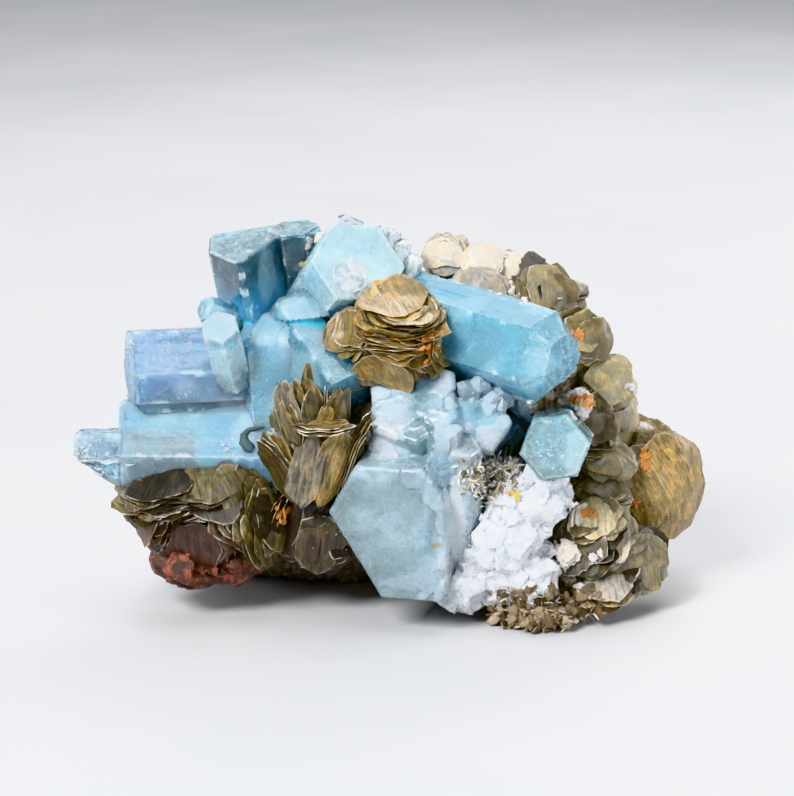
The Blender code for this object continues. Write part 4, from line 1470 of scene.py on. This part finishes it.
ICY = tinted_stone("icy_grains", 0.32, 0.2, 0.6, 0.12)


# Building the specimen.

rng = random.Random(20)


def add_crystal_piece(name, table, material, slot, step, seed, node):
    pile, inside = Pile(), Pile()
    grow_crystals(pile, inside, table, step, seed)
    if inside.count:
        inside.make(name + "_milky_inside", MILKY, (), slot, sharp=180.0)
    return pile.make(name, material, (node,), slot, sharp=24.0)


# Each crystal piece: its prisms, material and slot, the spacing of its points in mm, its seed
# and the node that it dresses.
CRYSTAL_PIECES = {
    "left_aquamarine_cluster": (LEFT_CLUSTER, AQUA, "aquamarine", 0.5, 1, "aquamarine_left_cluster"),
    "right_aquamarine": (RIGHT_CRYSTAL, AQUA, "aquamarine", 0.42, 21, "aquamarine_right_crystal"),
    "top_aquamarine": (TOP_CRYSTAL, AQUA, "aquamarine", 0.42, 31, "aquamarine_top_crystal"),
    "small_aquamarine": (SMALL_CRYSTAL, AQUA, "aquamarine", 0.42, 41, "aquamarine_small_crystal"),
    "back_aquamarine": (BACK_CRYSTAL, AQUA, "aquamarine", 0.6, 51, "aquamarine_back_crystal"),
    "colourless_blade": (PALE_BLADE, CLEAR, "white_quartz", 0.4, 61, "quartz_blade"),
}
for crystal, row in CRYSTAL_PIECES.items():
    add_crystal_piece(crystal, *row)
pale_inside = Pile()
grow_crystals(None, pale_inside, PALE_MASS, 0.5, 71)
pale_inside.make("pale_beryl_milky_inside", MILKY, (), "pale_beryl", sharp=180.0)

for order, (rosette, rows) in enumerate(MICA_BOOKS.items()):
    sheets = grow_mica(rosette, rows, 100 + order)
    if rosette == "mica_left_fan":
        for blade in FAN_BLADES.values():
            add_blade(sheets, rng, colours=(OLIVE, OLIVE, GREY, GOLDEN), **blade)
        for shelf in FAN_SHELVES.values():
            # Full-strength rims: the shelves' pale lines are a painted edge highlight.
            add_blade(sheets, rng, colours=(OLIVE, GREY), rim=1.0, sheets=3, **shelf)
    sheets.make(rosette.replace("mica_", "muscovite_"), MICA, (rosette,), "muscovite", sharp=35.0)


def stone_piece(name, node, material, slot, voxel, depth, spacing, seed, crumb=1.0):
    """A stone skin over the solid of a node, broken into flats of two sizes and roughened.

    voxel is the size of its faces, depth and spacing are the relief and width of the large
    flats, all in mm. crumb is how strong the small flats and the roughness are.
    """
    points, normals, faces = remeshed(node, voxel)
    push = facets(points, spacing, depth, 0.45, seed)
    push += crumb * facets(points, spacing * 0.4, depth * 0.5, 0.5, seed + 1)
    push += crumb * 0.25 * depth * field(points, 0.9, seed + 4, octaves=2)
    pile = Pile()
    pile.add(points + normals * (push - depth * 0.3)[:, None], faces)
    pile.make(name, material, (node,), slot, sharp=22.0)
    return points, normals, faces


rock = stone_piece(
    "matrix_stone", "matrix_rock", ROCK, "matrix", voxel=0.8, depth=0.9, spacing=5.0, seed=3
)
quartz = stone_piece(
    "sugary_quartz_mass", "white_quartz_mass", QUARTZ, "white_quartz",
    voxel=0.4, depth=1.5, spacing=5.0, seed=5, crumb=0.12,
)
stone_piece(
    "red_feldspar_stone", "red_feldspar", FELDSPAR, "red_feldspar",
    voxel=0.5, depth=1.1, spacing=6.5, seed=7, crumb=0.3,
)
ALBITES = ("albite_behind_tower", "albite_right", "albite_low_right", "albite_pocket")
for number, node in enumerate(ALBITES):
    stone_piece(
        "cream_" + node, node, ALBITE, "white_albite",
        voxel=0.4, depth=0.5, spacing=1.8, seed=11 + number,
    )

QUARTZ_GRAINS = 300
ROCK_GRAINS = 1200
ROCK_FLAKES = 92
GRAINS_ABOVE = 1.2  # the height above the table where grains of rock start, in mm
FLAKES_ABOVE = 5.0  # and where loose flakes of mica start

quartz_grains = Pile()
for place, normal in scatter_spots(*quartz, QUARTZ_GRAINS, rng):
    size = rng.choice((0.2, 0.25, 0.35, 0.5, 0.8))
    bright = rng.uniform(0.8, 1.0)
    add_chunk(
        quartz_grains, rng, place, (size, size * rng.uniform(0.6, 1.0), size * 0.3), normal,
        (0.84 * bright, 0.86 * bright, 0.92 * bright),
    )
# Shards in the gaps between the pale beryl and the blue crystals: where each shows and its
# half size in mm.
SHARDS = {
    "below_right_crystal": (472, 392, 4.2),
    "middle": (496, 399, 4.6),
    "right": (522, 408, 4.6),
    "above_pocket": (512, 430, 4.6),
}
for photo_x, photo_y, size in SHARDS.values():
    place = at_pixel(photo_x, photo_y, SOLIDS)[0]
    for _ in range(5):
        near = place + VIEW_RIGHT * rng.uniform(-2.4, 2.4) + VIEW_UP * rng.uniform(-1.8, 1.8)
        part = size * rng.uniform(0.4, 0.9)
        bright = rng.uniform(0.75, 1.05)
        add_chunk(
            quartz_grains, rng, near, (part, part * 0.7, part * 0.8),
            VIEW_BACK + random_vector(rng, 0.3),
            (0.52 * bright, 0.66 * bright, 0.76 * bright),
        )
quartz_grains.make("quartz_grains", ICY, (), "white_quartz", sharp=15.0)

EARTHS = (
    (0.50, 0.42, 0.30), (0.34, 0.26, 0.15), (0.64, 0.58, 0.48), (0.16, 0.11, 0.06), (0.42, 0.33, 0.20)
)
rock_grains = Pile()
for place, normal in scatter_spots(*rock, ROCK_GRAINS, rng, GRAINS_ABOVE):
    size = rng.choice((0.3, 0.5, 0.7, 1.0, 1.8))
    add_chunk(
        rock_grains, rng, place, (size, size * rng.uniform(0.5, 1.0), size * 0.6), normal,
        rng.choice(EARTHS),
    )
rock_grains.make("rock_grains", GRAINS, (), "matrix", sharp=15.0)

rock_flakes = Pile()
for place, normal in scatter_spots(*rock, ROCK_FLAKES, rng, FLAKES_ABOVE):
    facing = (normal + random_vector(rng, 0.6)).normalized()
    upright = facing.orthogonal().normalized()
    axes = (facing, upright, upright.cross(facing))
    add_book(
        rock_flakes, rng, place, axes, rng.uniform(1.6, 4.2), 1.0, rng.uniform(0.8, 1.2),
        (OLIVE, GREY, GOLDEN, BEIGE), sheets=3, fan=3.0,
    )
rock_flakes.make("loose_mica_flakes", MICA, (), "muscovite", sharp=35.0)

# Raised frosted patches on the pale beryl: where they show in the photograph, then half width,
# half height and height in mm, and linear colour.
TEAL_ICE = (0.34, 0.49, 0.53)
BLUE_ICE = (0.34, 0.53, 0.63)
WHITE_ICE = (0.52, 0.65, 0.74)
GREY_ICE = (0.46, 0.54, 0.58)
PATCHES = {
    "upper_left": (408, 407, 5.6, 4.2, 0.9, BLUE_ICE),
    "upper_left_rim": (394, 415, 4.6, 3.0, 0.5, WHITE_ICE),
    "upper_middle": (430, 398, 3.8, 4.4, 1.0, BLUE_ICE),
    "upper_right": (446, 384, 2.4, 3.8, 1.0, WHITE_ICE),
    "upper_seam": (436, 424, 3.0, 2.0, 0.6, WHITE_ICE),
    "blue_round": (473, 415, 5.2, 3.6, 0.8, (0.26, 0.50, 0.62)),
    "blue_rim": (458, 428, 2.6, 1.6, 0.6, WHITE_ICE),
    "window": (421, 442, 3.4, 4.6, -0.15, (0.20, 0.34, 0.38)),
    "small_white": (443, 445, 1.9, 1.5, 0.9, WHITE_ICE),
    "left_white": (380, 440, 3.4, 3.2, 0.7, (0.68, 0.71, 0.76)),
    "left_white_low": (389, 452, 2.6, 2.2, 0.6, (0.62, 0.68, 0.73)),
    "rib_top": (443, 468, 3.2, 4.6, 0.8, BLUE_ICE),
    "rib_left": (430, 487, 2.0, 4.4, 0.9, WHITE_ICE),
    "hollow": (463, 455, 2.8, 4.2, -0.15, GREY_ICE),
    "slanting": (412, 476, 2.6, 2.6, 0.6, WHITE_ICE),
    "face_low": (407, 584, 5.0, 1.6, 0.3, WHITE_ICE),
    "face_right": (424, 545, 1.8, 6.4, 0.3, BLUE_ICE),
    "face_corner": (428, 578, 2.4, 4.0, 0.5, (0.56, 0.68, 0.80)),
    "face_blob": (388, 522, 2.4, 2.0, 0.2, (0.50, 0.66, 0.74)),
    "stain": (441, 522, 0.9, 1.6, 0.1, (0.42, 0.33, 0.18)),
    "stain_low": (437, 545, 1.5, 0.6, 0.1, (0.42, 0.33, 0.18)),
    "rib_middle": (445, 520, 1.7, 6.6, 0.9, WHITE_ICE),
    "rib_low": (449, 570, 2.0, 5.0, 0.8, WHITE_ICE),
    "rib_side": (462, 500, 3.2, 5.6, 0.5, (0.70, 0.77, 0.83)),
    "rib_side_middle": (460, 540, 3.4, 5.0, 0.7, (0.76, 0.80, 0.85)),
    "rib_side_low": (454, 578, 3.4, 5.0, 0.5, (0.72, 0.78, 0.84)),
    "rib_seam": (474, 520, 1.6, 6.0, 0.4, (0.60, 0.72, 0.80)),
    "right_white": (496, 444, 3.8, 3.4, 0.6, (0.70, 0.76, 0.84)),
    "right_seam": (512, 424, 3.2, 2.2, 0.6, WHITE_ICE),
}


def pale_beryl_skin():
    """The pale beryl as one etched skin: jigsaw terraces above, fluted ribs and a calm face."""
    points, normals, faces = remeshed("pale_beryl_mass", 0.36)
    calm = smooth_step(9.0, 6.0, points[:, 0]) * smooth_step(34.0, 30.0, points[:, 2])
    fluted = smooth_step(5.0, 7.0, points[:, 0]) * smooth_step(36.0, 32.0, points[:, 2])
    shape = points * np.column_stack((1.0 + 0.8 * fluted, np.ones(len(points)), 1.0 - 0.6 * fluted))
    level = terraces(0.5 + 0.75 * field(shape, 0.15, 41.0, octaves=2), 5, 0.12)
    small = terraces(0.5 + 0.75 * field(shape, 0.4, 43.0), 3, 0.15)
    fine = field(points, 0.6, 45.0)
    push = (0.4 * level + 0.16 * small - 0.35) * (1.0 - 0.6 * calm) + 0.04 * fine
    white = np.clip(1.3 * level - 0.35 + 0.4 * small * (1.0 - calm), 0.0, 1.0) * (1.0 - 0.55 * calm)
    tint = np.array(TEAL_ICE) * (1.0 - white[:, None]) + np.array(WHITE_ICE) * white[:, None]
    shown_x, shown_y = on_photo(points)
    front = smooth_step(-0.1, 0.3, normals @ np.array(VIEW_BACK)) * smooth_step(-8.0, -11.0, points[:, 1])
    warp = 0.6 * field(points, 0.3, 47.0, octaves=2)
    for x, y, wide, high, raised, colour in PATCHES.values():
        far = np.hypot((shown_x - x) / (wide * PIXELS_PER_MM), (shown_y - y) / (high * PIXELS_PER_MM))
        inside = smooth_step(1.0, 0.92, far + warp) * front
        push = push * (1.0 - 0.8 * inside) + 0.5 * raised * inside
        tint = tint * (1.0 - inside[:, None]) + np.array(colour) * inside[:, None]
    pile = Pile()
    pile.add(
        points + normals * np.minimum(push, 0.9)[:, None],
        faces,
        tint=0.05 + 0.95 * tint,
        frost=np.clip(0.22 + 0.2 * white + 0.06 * fine, 0.08, 0.7),
        clear=np.clip(0.6 - 0.35 * white, 0.15, 0.85),
        grain=points * (1.0, 1.0, 0.4),
    )
    pile.make("pale_beryl_crystals", PALE, ("pale_beryl_mass",), "pale_beryl", sharp=28.0)


pale_beryl_skin()
SKIN = shown_tree()


def shown_spots(photo_x, photo_y, wide, high, count):
    """Places and directions of the visible surface, scattered about a spot of the photograph."""
    for _ in range(count):
        spot = at_pixel(rng.gauss(photo_x, wide), rng.gauss(photo_y, high), SKIN)
        if spot:
            yield spot



# White flecks and chips: where a group of them shows, its half width and half height in
# pixels of the photograph, how many there are and their size in mm.
FLECKS = {
    "upper_arm_left": (167, 342, 13, 13, 50, 0.2),
    "upper_arm_right": (190, 343, 7, 10, 34, 0.2),
    "upper_arm_crack": (179, 360, 3, 16, 20, 0.2),
    "upper_arm_end": (128, 343, 4, 12, 40, 0.3),
    "arm_seam": (185, 396, 14, 5, 22, 0.22),
    "lower_arm": (228, 447, 9, 8, 30, 0.35),
    "lower_arm_field": (170, 435, 45, 24, 40, 0.14),
    "tip": (90, 452, 16, 16, 90, 0.3),
    "tip_rim": (92, 473, 18, 9, 60, 0.4),
    "trunk": (270, 345, 30, 30, 60, 0.18),
    "prism_foot": (239, 376, 4, 4, 12, 0.45),
    "top_face": (350, 280, 20, 16, 90, 0.25),
    "top_field": (360, 255, 38, 24, 90, 0.18),
    "right_end": (550, 360, 28, 34, 110, 0.2),
    "right_field": (490, 340, 45, 30, 40, 0.12),
    "small_crystal": (555, 450, 24, 24, 80, 0.24),
    "low_face": (385, 535, 45, 50, 70, 0.2),
    "pale_field": (420, 430, 50, 40, 60, 0.25),
    "under_right": (505, 405, 26, 8, 70, 0.3),
}
flecks = Pile()
for photo_x, photo_y, wide, high, count, size in FLECKS.values():
    for place, normal in shown_spots(photo_x, photo_y, wide * 0.5, high * 0.5, count):
        length = size * rng.uniform(0.5, 1.6)
        radii = (length, length * rng.uniform(0.3, 0.9), length * 0.4)
        add_chunk(flecks, rng, place + normal * 0.02, radii, normal, (0.86, 0.92, 0.97))
flecks.make("white_flecks", ICY, (), "white_quartz", sharp=15.0)

# Orange iron stains on flakes between the mica books: place in the photograph, half width
# and half height in pixels, and the number of flakes.
ORANGE_FLAKES = {
    "centre_rosette": (428, 345, 11, 13, 26),
    "right_of_crystal": (575, 334, 7, 5, 12),
    "below_crystal": (575, 399, 14, 5, 18),
    "by_shell": (644, 461, 4, 10, 14),
    "right_curl": (590, 514, 8, 5, 12),
    "left_fan": (283, 515, 6, 9, 12),
    "shell_foot": (637, 503, 4, 3, 6),
}
stains = Pile()
for photo_x, photo_y, wide, high, count in ORANGE_FLAKES.values():
    for place, normal in shown_spots(photo_x, photo_y, wide * 0.5, high * 0.5, count):
        way = normal + VIEW_BACK + random_vector(rng, 0.3)
        bright = rng.uniform(0.5, 1.1)
        add_plate(
            stains, rng, place + normal * 0.25, way.normalized(),
            (rng.uniform(0.5, 1.3), rng.uniform(0.25, 0.55)), 0.12,
            (0.80 * bright, 0.33 * bright, 0.08 * bright), 7, rng.gauss(50, 25),
        )
stains.make("orange_stained_flakes", GRAINS, (), "muscovite", sharp=20.0)

# Pale mineral bits between the mica books and under the crystals.
WHITE_BITS = {
    "under_right_crystal": (528, 405, 1.6, (0.85, 0.82, 0.74)),
    "above_right_crystal": (508, 291, 2.4, (0.84, 0.80, 0.75)),
    "above_right_low": (522, 300, 1.6, (0.82, 0.80, 0.80)),
    "right_books": (572, 418, 2.2, (0.72, 0.68, 0.66)),
    "low_right": (597, 556, 2.4, (0.80, 0.74, 0.74)),
    "low_right_foot": (575, 588, 2.0, (0.84, 0.78, 0.68)),
    "books_gap": (632, 385, 2.2, (0.74, 0.69, 0.66)),
    "books_gap_low": (636, 402, 1.6, (0.70, 0.64, 0.60)),
    "tower_side": (309, 241, 2.2, (0.80, 0.72, 0.60)),
    "tower_side_low": (306, 262, 1.6, (0.50, 0.48, 0.26)),
    "fan_left": (273, 432, 1.5, (0.72, 0.70, 0.56)),
}
bits = Pile()
for photo_x, photo_y, size, tint in WHITE_BITS.values():
    for place, normal in shown_spots(photo_x, photo_y, size * 1.4, size * 1.4, 5):
        part = size * rng.uniform(0.3, 0.8)
        radii = (part, part * rng.uniform(0.5, 0.9), part * 0.3)
        add_chunk(bits, rng, place, radii, normal, np.array(tint) * rng.uniform(0.8, 1.1))
bits.make("pale_mineral_bits", GRAINS, (), "white_albite", sharp=15.0)

# The pocket right of the ribs: cream blades, brown fibres and dark green needles.
POCKET_TINTS = (
    (0.92, 0.86, 0.76), (0.88, 0.80, 0.66), (0.62, 0.50, 0.32), (0.20, 0.15, 0.08), (0.94, 0.91, 0.86)
)
POCKET = dict(photo_x=489, photo_y=479, wide=13, high=10, count=420)
pocket = Pile()
for place, normal in shown_spots(**POCKET):
    way = normal + Vector((rng.gauss(0, 0.7), rng.gauss(0, 0.4), rng.gauss(0, 0.7)))
    tint = rng.choice(POCKET_TINTS)
    add_needle(pocket, place - normal * 0.4, way, rng.uniform(0.8, 2.4), rng.uniform(0.2, 0.7), tint)
DARK_NEEDLES = {
    "long": ((509, 457), (518, 428)),
    "left": ((496, 458), (490, 447)),
    "low": ((503, 462), (507, 446)),
}
for foot, tip in DARK_NEEDLES.values():
    spot = at_pixel(*foot, SKIN)
    far = at_front(tip, spot[0].y - 1.5)
    add_needle(pocket, spot[0], far - spot[0], (far - spot[0]).length, 0.7, (0.05, 0.06, 0.03))
YELLOW_GRAIN = (515, 496)
place, normal = at_pixel(*YELLOW_GRAIN, SKIN)
for _ in range(8):
    spot = place + VIEW_BACK + VIEW_RIGHT * rng.gauss(0, 0.5) + VIEW_UP * rng.gauss(0, 0.5)
    add_chunk(pocket, rng, spot, (0.8, 0.6, 0.6), normal, (0.85, 0.62, 0.12))
pocket.make("pocket_blades", GRAINS, (), "white_albite", sharp=20.0)

# Brown broken crumbs under the lower right: where they show in the photograph, and how high up
# on the rock they reach, in mm.
CRUMBS_ACROSS = (492, 602)
CRUMBS_DOWN = (588, 636)
CRUMBS_BELOW = 9.0
crumbs = Pile()
for _ in range(420):
    spot = at_pixel(rng.uniform(*CRUMBS_ACROSS), rng.uniform(*CRUMBS_DOWN), SKIN)
    if not spot or spot[0].z > CRUMBS_BELOW:
        continue
    if rng.random() < 0.4:
        way = Vector((rng.gauss(0, 1), -abs(rng.gauss(0, 0.6)), rng.gauss(0, 0.5)))
        add_needle(crumbs, spot[0], way, rng.uniform(0.8, 2.6), rng.uniform(0.2, 0.5), rng.choice(EARTHS))
    else:
        size = rng.choice((0.3, 0.5, 0.8, 1.3, 1.9))
        tint = np.array(rng.choice(EARTHS)) * (1.0, 0.88, 0.72) * rng.uniform(0.15, 0.8)
        add_chunk(crumbs, rng, spot[0], (size, size * 0.7, size * 0.7), spot[1], tint)
crumbs.make("brown_crumbs", GRAINS, (), "matrix", sharp=20.0)

# The grey-green hook that is grown into the front of the lower arm.
HOOK = ((264, 427), (257, 428), (249, 430), (244, 435), (244, 442), (249, 448), (253, 450))
hook = Pile()
path = [at_pixel(*spot, SKIN)[0] for spot in HOOK]
add_tube(hook, path, (0.3, 0.4, 0.5, 0.75, 1.1, 1.25, 0.8), (0.07, 0.12, 0.12))
hook.make("hook_inclusion", GRAINS, (), "muscovite", sharp=60.0)


# Floor, light and camera.

FLOOR_RADIUS = 4.0  # in metres


def floor():
    work = bmesh.new()
    bmesh.ops.create_circle(work, cap_ends=True, segments=96, radius=FLOOR_RADIUS)
    mesh = bpy.data.meshes.new("floor")
    work.to_mesh(mesh)
    work.free()
    ground = bpy.data.objects.new("floor", mesh)
    bpy.context.scene.collection.objects.link(ground)
    r = Recipe("pale_floor")
    cloud = r.noise(0.01, 3.0)
    r.set(Base_Color=r.mix(r.ramp(cloud, 0.3, 0.7), (0.56, 0.57, 0.59), (0.62, 0.62, 0.63)), Roughness=0.6)
    mesh.materials.append(r.material)


def area_light(name, azimuth, elevation, distance, size, power, colour):
    data = bpy.data.lights.new(name, "AREA")
    data.shape = "DISK"
    data.size = size
    data.energy = power
    data.color = colour
    lamp = bpy.data.objects.new(name, data)
    way = toward(azimuth, elevation)
    lamp.location = (CAMERA_TARGET - Vector(ORIGIN)) * MM + way * distance
    lamp.rotation_euler = way.to_track_quat("Z", "Y").to_euler()
    bpy.context.scene.collection.objects.link(lamp)


floor()
# Each light: azimuth and elevation in degrees, distance and width in metres, power and colour.
WHITE = (1.0, 1.0, 1.0)
LIGHTS = {
    "key": (-34, 38, 0.9, 0.34, 10.2, WHITE),
    "fill": (40, 16, 1.0, 0.5, 2.9, (0.96, 0.98, 1.0)),
    "top": (20, 80, 0.9, 0.5, 2.6, WHITE),
    "rim": (158, 38, 0.9, 0.4, 3.4, WHITE),
    "sky": (180, 52, 2.2, 2.0, 18.0, WHITE),
    "left_strip": (-118, 12, 0.7, 0.3, 1.2, WHITE),
    "right_strip": (114, 14, 0.7, 0.3, 1.6, WHITE),
}
for light, row in LIGHTS.items():
    area_light(light, *row)

world = bpy.data.worlds.new("studio")
world.use_nodes = True
background = world.node_tree.nodes["Background"]
background.inputs["Color"].default_value = (0.80, 0.84, 0.90, 1.0)
background.inputs["Strength"].default_value = 0.2
bpy.context.scene.world = world
bpy.context.scene.view_settings.view_transform = "Khronos PBR Neutral"

camera_data = bpy.data.cameras.new("camera")
camera_data.lens = LENS
camera_data.sensor_width = SENSOR_WIDTH
camera_data.clip_start = 0.01
camera = bpy.data.objects.new("camera", camera_data)
camera.location = (CAMERA_PLACE - Vector(ORIGIN)) * MM
camera.rotation_euler = VIEW_BACK.to_track_quat("Z", "Y").to_euler()
bpy.context.scene.collection.objects.link(camera)
bpy.context.scene.camera = camera
